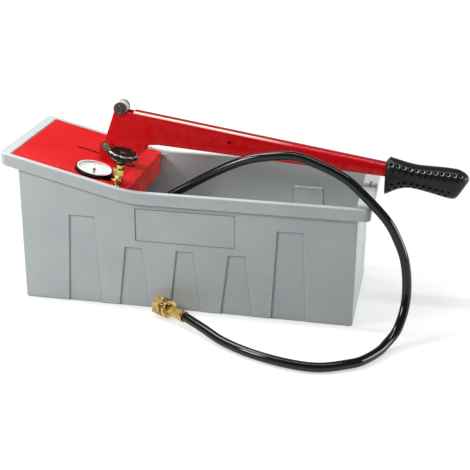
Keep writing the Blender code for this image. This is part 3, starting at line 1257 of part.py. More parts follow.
def shutoff_valve():
    """Brass valve through the cover, with a scalloped wheel on its rising stem."""
    spot = on_cover(VALVE_U, VALVE_Y)
    bore = STEM_RADIUS + GAP
    piece("valve_body", tube(VALVE_BODY_RADIUS, bore, VALVE_BODY_LOW, VALVE_BODY_TOP, 24, spot), BRASS)
    hole = VALVE_BODY_RADIUS + GAP
    piece("panel_nut", nut(PANEL_NUT_RADIUS, hole, GAP, PANEL_NUT_TOP, spot, PIN_CHAMFER), BRASS)
    outer = nut(PACKING_NUT_RADIUS, hole, PACKING_NUT_LOW, PACKING_NUT_TOP, spot, PIN_CHAMFER)
    packing = piece("packing_nut", outer, BRASS)
    roof = VALVE_BODY_TOP + GAP
    neck = [(bore, roof), (hole + GAP, roof), (hole + GAP, PACKING_NUT_TOP - GAP),
            (PACKING_NECK_RADIUS, PACKING_NUT_TOP), (PACKING_NECK_RADIUS, PACKING_NECK_TOP - PIN_CHAMFER),
            (PACKING_NECK_RADIUS - PIN_CHAMFER, PACKING_NECK_TOP), (bore, PACKING_NECK_TOP)]
    boolean(packing, turned(neck, 24, spot), "UNION")
    spindle = [(0, STEM_LOW), (STEM_RADIUS / 2, STEM_LOW), (STEM_RADIUS, STEM_LOW + STEM_RADIUS),
               (STEM_RADIUS, STEM_TOP), (STEM_BORE, STEM_TOP), (STEM_BORE, STEM_TOP - STEM_BORE_DEPTH),
               (0, STEM_TOP - STEM_BORE_DEPTH)]
    piece("valve_stem", turned(spindle, 16, spot), BRASS, valve_axis)
    rings = []
    turns = [2 * math.pi * step / WHEEL_SIDES for step in range(WHEEL_SIDES)]
    for reach, height, scalloped in WHEEL_RING_SHARES:
        lobes = [WHEEL_RADIUS * reach + scalloped * WHEEL_LOBE * math.cos(WHEEL_LOBES * a) for a in turns]
        z = WHEEL_BOTTOM + WHEEL_HEIGHT * height
        rings.append([Vector((r * math.cos(a), r * math.sin(a), z)) for r, a in zip(lobes, turns)])
    for height in (WHEEL_RING_SHARES[-1][1], 0):
        z = WHEEL_BOTTOM + WHEEL_HEIGHT * height
        rings.append([Vector((bore * math.cos(a), bore * math.sin(a), z)) for a in turns])
    piece("handwheel", place(loft(rings, closed=True), spot), BLACK, wheel_axis)
    screw = [(0, WHEEL_SCREW_TIP), (WHEEL_SCREW_SHANK, WHEEL_SCREW_TIP), (WHEEL_SCREW_SHANK, WHEEL_SCREW_LOW),
             (WHEEL_SCREW_RADIUS, WHEEL_SCREW_LOW), (WHEEL_SCREW_RADIUS, WHEEL_SCREW_TOP - PIN_CHAMFER),
             (WHEEL_SCREW_RADIUS - PIN_CHAMFER, WHEEL_SCREW_TOP), (0, WHEEL_SCREW_TOP)]
    piece("wheel_screw", turned(screw, 16, spot), STEEL, wheel_axis)


# Outlet, hose and end fitting

def outlet():
    """Elbow on the manifold and the ferrule that holds the hose's tank end."""
    face = COVER @ Matrix.Translation((MANIFOLD_RIGHT, OUTLET_Y, GALLERY_W))
    along = face.to_3x3() @ Vector((1, 0, 0))
    start = face.translation
    foot = TAIL - TAIL_DIRECTION * ELBOW_END
    bent = bend(start + along * ELBOW_HEX_LENGTH, along, foot, TAIL_DIRECTION, ELBOW_STEP)
    route = [start - along * ELBOW_ENTRY, start] + bent + [TAIL, TAIL + TAIL_DIRECTION * (ELBOW_END - GAP)]
    elbow = piece("outlet_elbow", swept(route, ELBOW_RADIUS, ELBOW_BORE), BRASS)
    collar = nut(ELBOW_HEX_RADIUS, (ELBOW_RADIUS + ELBOW_BORE) / 2, GAP, ELBOW_HEX_LENGTH, face @ ALONG_X)
    boolean(elbow, collar, "UNION")
    wide, fit = ELBOW_RADIUS + GAP, HOSE_RADIUS + HOSE_FIT
    profile = [(wide, 0), (TAIL_RADIUS, 0), (TAIL_RADIUS, TAIL_LENGTH), (fit, TAIL_LENGTH),
               (fit, TAIL_SOCKET), (wide, TAIL_SOCKET)]
    piece("tank_ferrule", turned(profile, 24, aimed(TAIL, TAIL_DIRECTION)), STEEL)


def hose_line():
    """Middle line of the hose, straight where it sits in its fittings."""
    tank_end = [TAIL + TAIL_DIRECTION * (TAIL_LENGTH + step * HOSE_ENTRY) for step in (-1, 0, 0.75)]
    foot = NUT_LENGTH + FERRULE_LENGTH
    free_end = [END - END_DIRECTION * (foot + step * HOSE_ENTRY) for step in (0.75, 0, -1)]
    return smooth_line(tank_end + [Vector(point) for point in HOSE_ROUTE] + free_end, HOSE_STEP)


def end_fitting():
    """Ferrule, nipple, sealing washer and the loose swivel nut."""
    spot = aimed(END, END_DIRECTION)
    fit, neck = HOSE_RADIUS + HOSE_FIT, NIPPLE_RADIUS + GAP
    low, top = -NUT_LENGTH - FERRULE_LENGTH, -NUT_LENGTH - GAP
    piece("end_ferrule", tube(FERRULE_RADIUS, fit, low, top, 24, spot), STEEL)
    seat = GAP - NUT_BORE_DEPTH
    flange = seat + NIPPLE_FLANGE_LENGTH
    profile = [(NIPPLE_BORE, top - NIPPLE_REACH), (NIPPLE_RADIUS, top - NIPPLE_REACH), (NIPPLE_RADIUS, seat),
               (NIPPLE_FLANGE, seat), (NIPPLE_FLANGE, flange), (NIPPLE_BORE, flange)]
    piece("hose_nipple", turned(profile, 24, spot), BRASS)
    ring = tube(NIPPLE_FLANGE, NIPPLE_BORE, flange + GAP, flange + GAP + WASHER_THICKNESS, 24, spot)
    piece("sealing_washer", ring, BLACK)
    hexagon = nut(NUT_RADIUS, neck, -NUT_HEX_LENGTH, 0, spot, WASHER_THICKNESS)
    swivel = piece("swivel_nut", hexagon, BRASS, nut_axis)
    steps = ((NUT_COLLAR_RADIUS, NUT_COLLAR_LENGTH), (NUT_GROOVE_RADIUS, NUT_GROOVE),
             (NUT_RING_RADIUS, NUT_RING_LENGTH), (NUT_GROOVE_RADIUS, NUT_GROOVE))
    top = height = WASHER_THICKNESS / 2 - NUT_HEX_LENGTH
    profile = [(neck, top)]
    for radius, length in steps:
        profile += [(radius, height), (radius, height - length)]
        height -= length
    profile += [(NUT_RING_RADIUS, height), (NUT_RING_RADIUS, -NUT_LENGTH), (neck, -NUT_LENGTH)]
    boolean(swivel, turned(profile, 24, spot), "UNION")
    boolean(swivel, disc(NUT_BORE, -NUT_BORE_DEPTH, OVERRUN, 24, spot))


screw_bosses(tank())
cover_plate()
cover_screws()
lever()
lever_grip()
lever_pins()
link()
plunger()
head_frame()
barrel_group()
valve_block()
suction_side()
delivery_side()
manifold()
gauge()
shutoff_valve()
outlet()
end_fitting()
piped("hose", hose_line(), HOSE_RADIUS, HOSE_LEVEL, BLACK)
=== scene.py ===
import math

import bpy
from mathutils import Matrix, Vector


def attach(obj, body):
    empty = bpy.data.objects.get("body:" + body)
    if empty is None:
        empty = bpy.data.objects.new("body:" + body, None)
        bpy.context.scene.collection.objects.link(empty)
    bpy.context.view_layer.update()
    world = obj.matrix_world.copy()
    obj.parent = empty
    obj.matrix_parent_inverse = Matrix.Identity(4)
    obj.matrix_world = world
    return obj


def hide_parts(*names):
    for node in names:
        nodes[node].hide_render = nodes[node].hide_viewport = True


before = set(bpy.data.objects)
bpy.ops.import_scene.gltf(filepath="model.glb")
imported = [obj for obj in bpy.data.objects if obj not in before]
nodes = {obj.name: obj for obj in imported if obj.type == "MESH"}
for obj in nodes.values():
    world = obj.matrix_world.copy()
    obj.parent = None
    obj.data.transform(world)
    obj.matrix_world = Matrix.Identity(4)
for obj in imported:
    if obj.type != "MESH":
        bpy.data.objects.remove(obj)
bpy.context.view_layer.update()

# Camera
# An 85 mm view on the pump's near long side, from a little above it and to its right.
CAMERA_PLACE = (0.3291, -1.4524, 0.6605)
CAMERA_TURN = math.radians(10.8)
CAMERA_DROP = math.radians(21.3)
CAMERA_ROLL = math.radians(0.7)
SENSOR_WIDTH = 36
FOCAL_LENGTH = 84.55
camera_data = bpy.data.cameras.new("camera")
camera_data.sensor_width = SENSOR_WIDTH
camera_data.lens = FOCAL_LENGTH
camera = bpy.data.objects.new("camera", camera_data)
bpy.context.collection.objects.link(camera)
aim = Matrix.Rotation(CAMERA_TURN, 4, "Z") @ Matrix.Rotation(math.pi / 2 - CAMERA_DROP, 4, "X")
camera.matrix_world = Matrix.Translation(CAMERA_PLACE) @ aim @ Matrix.Rotation(CAMERA_ROLL, 4, "Z")
bpy.context.scene.camera = camera

# Hose
# A smooth black rubber pressure hose, pushed into a ferrule at each end. It rises from the pump,
# arches down past the tank's near right corner, curls round on the floor and ends in front.
HOSE_RADIUS = 0.00625
HOSE_STEP = 0.004
HOSE_FACETS = 8
HOSE_ENTRY = 0.008
TAIL = Vector((-0.0740, -0.0520, 0.1225))
TAIL_RISE = math.radians(37.2)
TAIL_DIRECTION = Vector((math.cos(TAIL_RISE), 0, math.sin(TAIL_RISE)))
FERRULE_MOUTH = 0.030
END = Vector((-0.0340, -0.1075, 0.0148))
END_TURN = math.radians(144.2)
END_DIRECTION = Vector((math.cos(END_TURN), math.sin(END_TURN), 0))
END_MOUTH = 0.0555
HOSE_ROUTE = (
    (-0.0345, -0.0520, 0.1520), (-0.0220, -0.0520, 0.1608), (-0.0018, -0.0530, 0.1733),
    (0.0197, -0.0550, 0.1870), (0.0556, -0.0600, 0.2076), (0.0872, -0.0645, 0.2210),
    (0.1276, -0.0705, 0.2295), (0.1505, -0.0740, 0.2299), (0.1745, -0.0780, 0.2240),
    (0.1984, -0.0830, 0.2161), (0.2184, -0.0873, 0.2064), (0.2381, -0.0915, 0.1908),
    (0.2577, -0.0940, 0.1731), (0.2732, -0.0955, 0.1562), (0.2852, -0.0970, 0.1365),
    (0.2964, -0.0990, 0.1105), (0.3022, -0.1035, 0.0809), (0.3026, -0.1135, 0.0493),
    (0.2950, -0.1330, 0.0225), (0.2830, -0.1530, 0.0105), (0.2740, -0.1710, 0.0069),
    (0.2580, -0.1965, 0.0066), (0.2420, -0.2110, 0.0066), (0.2040, -0.2290, 0.0066),
    (0.1615, -0.2260, 0.0066), (0.1130, -0.2090, 0.0067), (0.0720, -0.1850, 0.0075),
    (0.0420, -0.1630, 0.0118),
)
HOSE_BLACK = (6, 6, 7)
HOSE_BLOOM = (14, 15, 16)


def smooth_line(points, step):
    """Points about one step apart on a smooth curve through the given points."""
    knots = [2 * points[0] - points[1]] + points + [2 * points[-1] - points[-2]]
    line = [knots[1]]
    for before, start, end, after in zip(knots, knots[1:], knots[2:], knots[3:]):
        count = max(1, round((end - start).length / step))
        for index in range(1, count + 1):
            t = index / count
            near, far = (end - before) / 2, (after - start) / 2
            blend = (2 * start - 2 * end + near + far) * t ** 3
            line.append(blend + (3 * end - 3 * start - 2 * near - far) * t ** 2 + near * t + start)
    return line


def shade(red, green, blue):
    """A colour picked in display values, as the shader takes it."""
    parts = [part / 255 for part in (red, green, blue)]
    return tuple(part / 12.92 if part <= 0.04045 else ((part + 0.055) / 1.055) ** 2.4
                 for part in parts) + (1.0,)


def effect(name, inputs, output):
    """An empty shader node group with its named inputs and its output."""
    group = bpy.data.node_groups.new(name, "ShaderNodeTree")
    for label, value in inputs:
        socket = group.interface.new_socket(label, in_out="INPUT", socket_type="NodeSocketFloat")
        socket.default_value = value
    group.interface.new_socket(output, in_out="OUTPUT", socket_type="NodeSocketFloat")
    return group, group.nodes.new("NodeGroupInput"), group.nodes.new("NodeGroupOutput")


def noise_of_size(group, size_socket, detail, roughness):
    """Noise in the piece's own metres whose blobs are as wide as the size socket says."""
    place = group.nodes.new("ShaderNodeTexCoord")
    scale = group.nodes.new("ShaderNodeMath")
    scale.operation = "DIVIDE"
    scale.inputs[0].default_value = 1.0
    noise = group.nodes.new("ShaderNodeTexNoise")
    noise.inputs["Detail"].default_value = detail
    noise.inputs["Roughness"].default_value = roughness
    group.links.new(size_socket, scale.inputs[1])
    group.links.new(place.outputs["Object"], noise.inputs["Vector"])
    group.links.new(scale.outputs[0], noise.inputs["Scale"])
    return noise.outputs["Fac"]


def ramp(group, value, low, high):
    """Stretch a value so that low gives 0 and high gives 1."""
    stretch = group.nodes.new("ShaderNodeMapRange")
    for socket, source in zip(stretch.inputs[:3], (value, low, high)):
        if isinstance(source, float):
            socket.default_value = source
        else:
            group.links.new(source, socket)
    return stretch.outputs["Result"]


def combine(group, operation, first, second):
    """Two values through one math node."""
    node = group.nodes.new("ShaderNodeMath")
    node.operation = operation
    group.links.new(first, node.inputs[0])
    group.links.new(second, node.inputs[1])
    return node.outputs[0]


# Slow clouds of colour, as in a moulded wall or an aged skin
CLOUD_FROM = 0.32
CLOUD_FULL = 0.68
clouds_group, group_in, group_out = effect("clouds", (("Size", 0.05),), "Mask")
soft = noise_of_size(clouds_group, group_in.outputs["Size"], detail=3.0, roughness=0.55)
clouds_group.links.new(ramp(clouds_group, soft, CLOUD_FROM, CLOUD_FULL), group_out.inputs["Mask"])

# Fine grain of a mould, a paint or a rubber
grain_group, group_in, group_out = effect("grain", (("Size", 0.001),), "Height")
fine = noise_of_size(grain_group, group_in.outputs["Size"], detail=2.0, roughness=0.6)
grain_group.links.new(fine, group_out.inputs["Height"])

# Convex edges rubbed by hands and tools, broken up by noise
PATCH_FROM = 0.35
PATCH_FULL = 0.6
wear_inputs = (("Start", 0.53), ("Full", 0.6), ("Patch", 0.01))
wear_group, group_in, group_out = effect("edge_wear", wear_inputs, "Mask")
edge = wear_group.nodes.new("ShaderNodeNewGeometry").outputs["Pointiness"]
edge = ramp(wear_group, edge, group_in.outputs["Start"], group_in.outputs["Full"])
patch = noise_of_size(wear_group, group_in.outputs["Patch"], detail=4.0, roughness=0.6)
patch = ramp(wear_group, patch, PATCH_FROM, PATCH_FULL)
wear_group.links.new(combine(wear_group, "MULTIPLY", edge, patch), group_out.inputs["Mask"])

# Painted shade: a darker colour laid into narrow corners, found by ambient occlusion
CORNER_OPEN = 0.92
CORNER_DEEP = 0.45
CORNER_SAMPLES = 12
shade_group, group_in, group_out = effect("corner_shade", (("Reach", 0.003),), "Mask")
corner = shade_group.nodes.new("ShaderNodeAmbientOcclusion")
corner.samples = CORNER_SAMPLES
corner.only_local = True
shade_group.links.new(group_in.outputs["Reach"], corner.inputs["Distance"])
depth = ramp(shade_group, corner.outputs["AO"], CORNER_OPEN, CORNER_DEEP)
shade_group.links.new(depth, group_out.inputs["Mask"])


def add_effect(tree, group, **values):
    """Place an effect in a material with its own values."""
    node = tree.nodes.new("ShaderNodeGroup")
    node.node_tree = group
    for label, value in values.items():
        node.inputs[label].default_value = value
    return node


def finish(name, colour, second, worn, roughness, grain_size, grain_depth, clouds=0.04,
           metallic=0.0, specular=0.5, patch=0.01, painted_shade=None, reach=0.003):
    """A finish of two close colours in clouds, with rubbed edges, painted shade in corners if
    asked, and a fine grain.
    """
    material = bpy.data.materials.new(name)
    material.use_nodes = True
    tree = material.node_tree
    shader = tree.nodes["Principled BSDF"]
    shader.inputs["Metallic"].default_value = metallic
    shader.inputs["Specular IOR Level"].default_value = specular
    cloud = add_effect(tree, clouds_group, Size=clouds)
    grain = add_effect(tree, grain_group, Size=grain_size)
    edge_mark = add_effect(tree, wear_group, Patch=patch)
    source = shade(*colour)
    layers = [(cloud, second), (edge_mark, worn)]
    # Painted shade in narrow corners, where a colour for it is given
    if painted_shade:
        layers.append((add_effect(tree, shade_group, Reach=reach), painted_shade))
    for mask, other in layers:
        mix = tree.nodes.new("ShaderNodeMix")
        mix.data_type = "RGBA"
        tree.links.new(mask.outputs["Mask"], mix.inputs[0])
        if isinstance(source, tuple):
            mix.inputs[6].default_value = source
        else:
            tree.links.new(source, mix.inputs[6])
        mix.inputs[7].default_value = shade(*other)
        source = mix.outputs[2]
    tree.links.new(source, shader.inputs["Base Color"])
    gloss = tree.nodes.new("ShaderNodeMapRange")
    gloss.inputs["To Min"].default_value = roughness * 0.85
    gloss.inputs["To Max"].default_value = roughness * 1.15
    tree.links.new(cloud.outputs["Mask"], gloss.inputs["Value"])
    tree.links.new(gloss.outputs["Result"], shader.inputs["Roughness"])
    bump = tree.nodes.new("ShaderNodeBump")
    bump.inputs["Distance"].default_value = grain_depth
    tree.links.new(grain.outputs["Height"], bump.inputs["Height"])
    tree.links.new(bump.outputs["Normal"], shader.inputs["Normal"])
    return material


def belong(piece, body, node):
    """Put a piece on the body it rides on, and hide the CAD node it stands for."""
    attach(piece, body)
    if node:
        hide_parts(node)


hose_skin = finish("hose_skin", HOSE_BLACK, HOSE_BLOOM, HOSE_BLOOM, roughness=0.1,
                   grain_size=0.0012, grain_depth=0.00001, specular=0.4)
tank_end = [TAIL + TAIL_DIRECTION * (FERRULE_MOUTH + step * HOSE_ENTRY) for step in (-1, 0, 0.75)]
free_end = [END - END_DIRECTION * (END_MOUTH + step * HOSE_ENTRY) for step in (0.75, 0, -1)]
hose_line = smooth_line(tank_end + [Vector(point) for point in HOSE_ROUTE] + free_end, HOSE_STEP)
hose_curve = bpy.data.curves.new("hose_cover", "CURVE")
hose_curve.dimensions = "3D"
hose_curve.bevel_depth = HOSE_RADIUS
hose_curve.bevel_resolution = HOSE_FACETS
hose_curve.use_fill_caps = True
hose_curve.materials.append(hose_skin)
spline = hose_curve.splines.new("POLY")
spline.points.add(len(hose_line) - 1)
for point, spot in zip(spline.points, hose_line):
    point.co = (*spot, 1)
spline.use_smooth = True
hose = bpy.data.objects.new("hose_cover", hose_curve)
bpy.context.collection.objects.link(hose)
belong(hose, "tank_unit", "hose")

# Tank
# One hollow moulding of grey polyethylene with a turned-down rim and panelled walls, open at the
# top. Its left end is raised and carries the pump. The edges are as round as the mould leaves them.
TANK_ROUNDING = 0.0009
TANK_GREY = (196, 203, 203)
TANK_CLOUD = (187, 195, 196)
TANK_RUBBED = (222, 226, 226)
TANK_CORNER_SHADE = (70, 86, 86)
MERGE = 0.000001
SHARP_EDGE = 30


def select_only(piece):
    """Deselect all, then select one piece and make it active."""
    bpy.ops.object.select_all(action="DESELECT")
    piece.select_set(True)
    bpy.context.view_layer.objects.active = piece


def apply_modifier(piece, kind, **settings):
    """Add one modifier with its settings and apply it."""
    select_only(piece)
    modifier = piece.modifiers.new(kind.lower(), kind)
    for label, value in settings.items():
        setattr(modifier, label, value)
    bpy.ops.object.modifier_apply(modifier=modifier.name)


def cleaned_copy(node, name, flat=0.5):
    """A CAD node's shape as a new piece with its loose triangles joined into faces."""
    piece = bpy.data.objects.new(name, nodes[node].data.copy())
    bpy.context.collection.objects.link(piece)
    select_only(piece)
    bpy.ops.object.mode_set(mode="EDIT")
    bpy.ops.mesh.select_all(action="SELECT")
    bpy.ops.mesh.remove_doubles(threshold=MERGE)
    bpy.ops.mesh.dissolve_limited(angle_limit=math.radians(flat))
    bpy.ops.object.mode_set(mode="OBJECT")
    return piece


def round_edges(piece, rounding):
    """Round a piece's sharp edges."""
    apply_modifier(piece, "BEVEL", width=rounding, segments=2, limit_method="ANGLE",
                   angle_limit=math.radians(SHARP_EDGE), use_clamp_overlap=False)


def smooth(piece, sharp=SHARP_EDGE):
    """Shade a piece smooth, but for its sharp edges, with its large faces kept flat."""
    select_only(piece)
    bpy.ops.object.shade_smooth_by_angle(angle=math.radians(sharp))
    apply_modifier(piece, "WEIGHTED_NORMAL", keep_sharp=True, weight=100)


def coat(piece, *materials):
    """Give a piece its finishes, the first one on every face for now."""
    piece.data.materials.clear()
    for material in materials:
        piece.data.materials.append(material)


def rounded(node, name, rounding, material, body):
    """A CAD node's shape with its edges rounded as they are on the real piece."""
    piece = cleaned_copy(node, name)
    round_edges(piece, rounding)
    smooth(piece)
    coat(piece, material)
    belong(piece, body, node)
    return piece


# The tank's recess edges and corners are darkened as painted shade
moulded_grey = finish("moulded_grey", TANK_GREY, TANK_CLOUD, TANK_RUBBED, roughness=0.42,
                      grain_size=0.0009, grain_depth=0.00006, clouds=0.09, painted_shade=TANK_CORNER_SHADE,
                      reach=0.0035)
rounded("tank", "tank_shell", TANK_ROUNDING, moulded_grey, "tank_unit")

# Cover plate and its screws
# A 2 mm steel sheet folded down at its front edge and enamelled red, held by two cross-recessed
# screws at the fold. The enamel is thick enough to round every edge.
COVER_ROUNDING = 0.0006
SMALL_ROUNDING = 0.0003
COVER_RED = (204, 28, 29)
COVER_DEEP = (196, 23, 27)
CHIPPED = (232, 96, 84)
STEEL_GREY = (186, 188, 186)
STEEL_DARK = (150, 153, 152)
STEEL_BRIGHT = (226, 227, 224)
cover_enamel = finish("cover_enamel", COVER_RED, COVER_DEEP, CHIPPED, roughness=0.4,
                      grain_size=0.0016, grain_depth=0.00003, clouds=0.06, specular=0.07)
rounded("cover_plate", "cover_sheet", COVER_ROUNDING, cover_enamel, "tank_unit")
zinc = finish("zinc_plate", STEEL_GREY, STEEL_DARK, STEEL_BRIGHT, roughness=0.28,
              grain_size=0.0006, grain_depth=0.00002, clouds=0.006, metallic=1.0, patch=0.003)
for side in ("near", "far"):
    rounded("cover_screw_" + side, "fold_screw_" + side, SMALL_ROUNDING, zinc, "tank_unit")

# Pump under the cover
# A steel head frame with two ears carries the lever. Below it hang the brass barrel, the plunger
# with its seals, the valve block with its two balls, and the pipe up to the manifold.
HEAD_ROUNDING = 0.0004
BRASS_GOLD = (224, 194, 120)
BRASS_TARNISH = (156, 124, 62)
BRASS_SHADE = (70, 46, 20)
BRASS_BRIGHT = (240, 214, 150)
NYLON_GREY = (206, 206, 200)
NYLON_CLOUD = (190, 191, 186)
RUBBER_BLACK = (26, 28, 28)
RUBBER_GREY = (44, 46, 46)


def coat_nodes(material, *names):
    """Give CAD nodes that keep their shape a better finish."""
    for name in names:
        for place in nodes[name].material_slots:
            place.material = material


brass = finish("turned_brass", BRASS_GOLD, BRASS_TARNISH, BRASS_BRIGHT, roughness=0.17,
               grain_size=0.0007, grain_depth=0.00002, clouds=0.007, metallic=1.0, patch=0.003,
               painted_shade=BRASS_SHADE, reach=0.002)
nylon = finish("nylon", NYLON_GREY, NYLON_CLOUD, NYLON_GREY, roughness=0.4, grain_size=0.0008,
               grain_depth=0.00002, clouds=0.01)
seal_rubber = finish("seal_rubber", RUBBER_BLACK, RUBBER_GREY, RUBBER_GREY, roughness=0.5,
                     grain_size=0.0006, grain_depth=0.00003, clouds=0.008)
rounded("head_frame", "pump_head", HEAD_ROUNDING, cover_enamel, "tank_unit")
coat_nodes(zinc, "link", "link_pin", "plunger_rod", "fork_stub_near", "fork_stub_far", "piston",
           "tie_bolt_1", "tie_bolt_2", "tie_bolt_3", "tie_bolt_4", "suction_ball", "delivery_ball")
coat_nodes(brass, "barrel", "gland_nut", "valve_block", "suction_retainer", "delivery_cap",
           "riser_pipe", "riser_nut_lower", "riser_nut_upper", "manifold", "gauge_stem",
           "outlet_elbow", "valve_body", "valve_stem", "hose_nipple")
coat_nodes(seal_rubber, "piston_seal", "rod_seal", "sealing_washer")
coat_nodes(nylon, "suction_strainer", "pivot_bush_near", "pivot_bush_far")

# Lever and the pins it turns on
# A channel folded from 2.5 mm sheet and enamelled a brighter red than the cover. It swings on a
# steel pin between the ears, and a nylon roller in its upper left corner meets the cover's stop.
LEVER_ROUNDING = 0.0005
CHANNEL_HALF = 0.008
FOLD_RADIUS = 0.0026
FOLD_STEPS = 6
FOLD_LENGTH = 0.1
FACING = 0.9
FOLD_HIGHLIGHT_PALE = (255, 226, 208)
FOLD_HIGHLIGHT_CREAM = (255, 210, 190)
FOLD_RED = (224, 28, 34)
FADE_FROM = 0.070
FADE_TO = 0.135
WEB_SHADE_RED = (150, 16, 24)
WEB_SHADE_DEEP = (138, 14, 22)
LEVER_RED = (222, 17, 27)
LEVER_DEEP = (212, 13, 23)
PIN_ROUNDING = 0.0004
ROLLER_ROUNDING = 0.0007
PIN_GREEN = (138, 150, 140)
OILED_GREEN = (74, 88, 80)
OILED_DARK = (40, 52, 46)
FIBRE_BROWN = (92, 44, 46)
FIBRE_DARK = (64, 32, 36)
lever_enamel = finish("lever_enamel", LEVER_RED, LEVER_DEEP, CHIPPED, roughness=0.25,
                      grain_size=0.0016, grain_depth=0.00003, clouds=0.05, specular=0.06)
# The folds carry a painted highlight: pale enamel towards the pump, fading to red towards the grip
fold_painted_highlight = finish("fold_painted_highlight", FOLD_HIGHLIGHT_PALE, FOLD_HIGHLIGHT_CREAM, FOLD_HIGHLIGHT_PALE, roughness=0.2,
                     grain_size=0.0016, grain_depth=0.00003, clouds=0.03)
tree = fold_painted_highlight.node_tree
fold_colour = tree.nodes["Principled BSDF"].inputs["Base Color"]
along = tree.nodes.new("ShaderNodeSeparateXYZ")
tree.links.new(tree.nodes.new("ShaderNodeTexCoord").outputs["Object"], along.inputs[0])
fade = tree.nodes.new("ShaderNodeMix")
fade.data_type = "RGBA"
tree.links.new(ramp(tree, along.outputs["X"], FADE_FROM, FADE_TO), fade.inputs[0])
tree.links.new(fold_colour.links[0].from_socket, fade.inputs[6])
fade.inputs[7].default_value = shade(*FOLD_RED)
tree.links.new(fade.outputs[2], fold_colour)
# Painted shade: the web's upper side is a darker, duller red than the sides
web_painted_shade = finish("web_painted_shade", WEB_SHADE_RED, WEB_SHADE_DEEP, WEB_SHADE_RED, roughness=0.35,
                    grain_size=0.0016, grain_depth=0.00003, clouds=0.05, specular=0.1)
lever = cleaned_copy("lever", "lever_channel")
coat(lever, lever_enamel, fold_painted_highlight, web_painted_shade)
web_edges, side_edges = set(), set()
# The web's upward faces take the painted shade
for face in lever.data.polygons:
    on_web = face.normal.z > FACING
    face.material_index = 2 if on_web else 0
    if on_web:
        web_edges.update(face.edge_keys)
    if abs(face.normal.y) > FACING:
        side_edges.update(face.edge_keys)
corners = lever.data.vertices
bpy.ops.object.mode_set(mode="EDIT")
bpy.ops.mesh.select_all(action="DESELECT")
bpy.ops.mesh.select_mode(type="EDGE")
bpy.ops.object.mode_set(mode="OBJECT")
for edge in lever.data.edges:
    start, end = (corners[index].co for index in edge.key)
    outside = abs(abs(start.y) - CHANNEL_HALF) < MERGE
    folded = edge.key in web_edges and edge.key in side_edges
    edge.select = folded and outside and (end - start).length > FOLD_LENGTH
bpy.ops.object.mode_set(mode="EDIT")
# The bevelled folds take the painted highlight
bpy.ops.mesh.bevel(offset=FOLD_RADIUS, segments=FOLD_STEPS, affect="EDGES", material=1)
bpy.ops.object.mode_set(mode="OBJECT")
round_edges(lever, LEVER_ROUNDING)
smooth(lever)
belong(lever, "lever", "lever")
oiled = finish("oiled_steel", OILED_GREEN, OILED_DARK, STEEL_BRIGHT, roughness=0.35,
               grain_size=0.0006, grain_depth=0.00002, clouds=0.004, metallic=1.0, patch=0.003)
passivated = finish("passivated_steel", PIN_GREEN, OILED_GREEN, PIN_GREEN, roughness=0.45,
                    grain_size=0.0006, grain_depth=0.00002, clouds=0.004, metallic=1.0,
                    patch=0.003)
fibre = finish("fibre_washer", FIBRE_BROWN, FIBRE_DARK, FIBRE_BROWN, roughness=0.4,
               grain_size=0.0005, grain_depth=0.00003, clouds=0.006)
rounded("pivot_pin", "lever_pivot_pin", PIN_ROUNDING, passivated, "tank_unit")
coat_nodes(passivated, "pivot_clip_near", "pivot_clip_far")
rounded("stop_roller", "lever_stop_roller", ROLLER_ROUNDING, nylon, "stop_roller")
rounded("roller_washer_near", "stop_washer_near", SMALL_ROUNDING, fibre, "lever")
rounded("roller_washer_far", "stop_washer_far", SMALL_ROUNDING, zinc, "lever")
rounded("roller_pin", "stop_roller_pin", SMALL_ROUNDING, oiled, "lever")

# Grip
# Moulded black rubber pushed over the lever's end, with rows of round dimples along both sides.
GRIP_BLACK = (12, 17, 15)
GRIP_BLOOM = (22, 29, 25)
GRIP_CREASE = math.radians(48)
GRIP_SHARP = 25
BESIDE_SEAM = 0.001
ABOVE_GRIP = 0.5
# Each row: its first dimple's x, its count, and its place across and up as shares of the section
DIMPLE_PITCH = 0.00847
DIMPLE_ROWS = ((0.2692, 12, 0.75, 0.72), (0.2727, 11, 0.92, 0.40), (0.2715, 10, 0.92, -0.42),
               (0.2673, 10, 0.74, -0.72))
# Each dimple is a dish with a hole off its middle: its lower and upper radius, its depth, its
# top's height and how far it moves up and back. The top row's dishes are pale as a painted
# highlight.
DIMPLE_CUTS = ((0.0017, 0.0032, 0.0009, 0.0002, 0.0), (0.0017, 0.0022, 0.0028, 0.0001, 0.0006))
DIMPLE_SIDES = 18
DISH_HIGHLIGHT_GREY = (168, 176, 172)
DISH_HIGHLIGHT_CLOUD = (146, 154, 150)
grip = cleaned_copy("lever_grip", "grip_rubber", flat=0.01)
bpy.ops.object.mode_set(mode="EDIT")
bpy.ops.mesh.select_all(action="SELECT")
bpy.ops.mesh.tris_convert_to_quads(face_threshold=math.radians(20),
                                   shape_threshold=math.radians(60))
bpy.ops.mesh.select_all(action="DESELECT")
bpy.ops.mesh.select_mode(type="EDGE")
bpy.ops.mesh.edges_select_sharp(sharpness=GRIP_CREASE)
bpy.ops.transform.edge_crease(value=1.0)
bpy.ops.object.mode_set(mode="OBJECT")
apply_modifier(grip, "SUBSURF", levels=2, render_levels=2)


def grip_spot(x, side, across, up):
    """Point and normal on the grip's skin, at shares of the half width and the height at x."""
    upward = Vector((0, 0, 1))
    top = grip.ray_cast(Vector((x, side * BESIDE_SEAM, ABOVE_GRIP)), -upward)[1].z
    low = grip.ray_cast(Vector((x, side * BESIDE_SEAM, 0.0)), upward)[1].z
    middle = Vector((x, 0, (top + low) / 2))
    outside = grip.ray_cast(middle + Vector((0, side, 0)), Vector((0, -side, 0)))[1].y
    aim_from = middle + Vector((0, 2 * outside * across, (top - low) * up))
    return grip.ray_cast(aim_from, (middle - aim_from).normalized())[1:3]


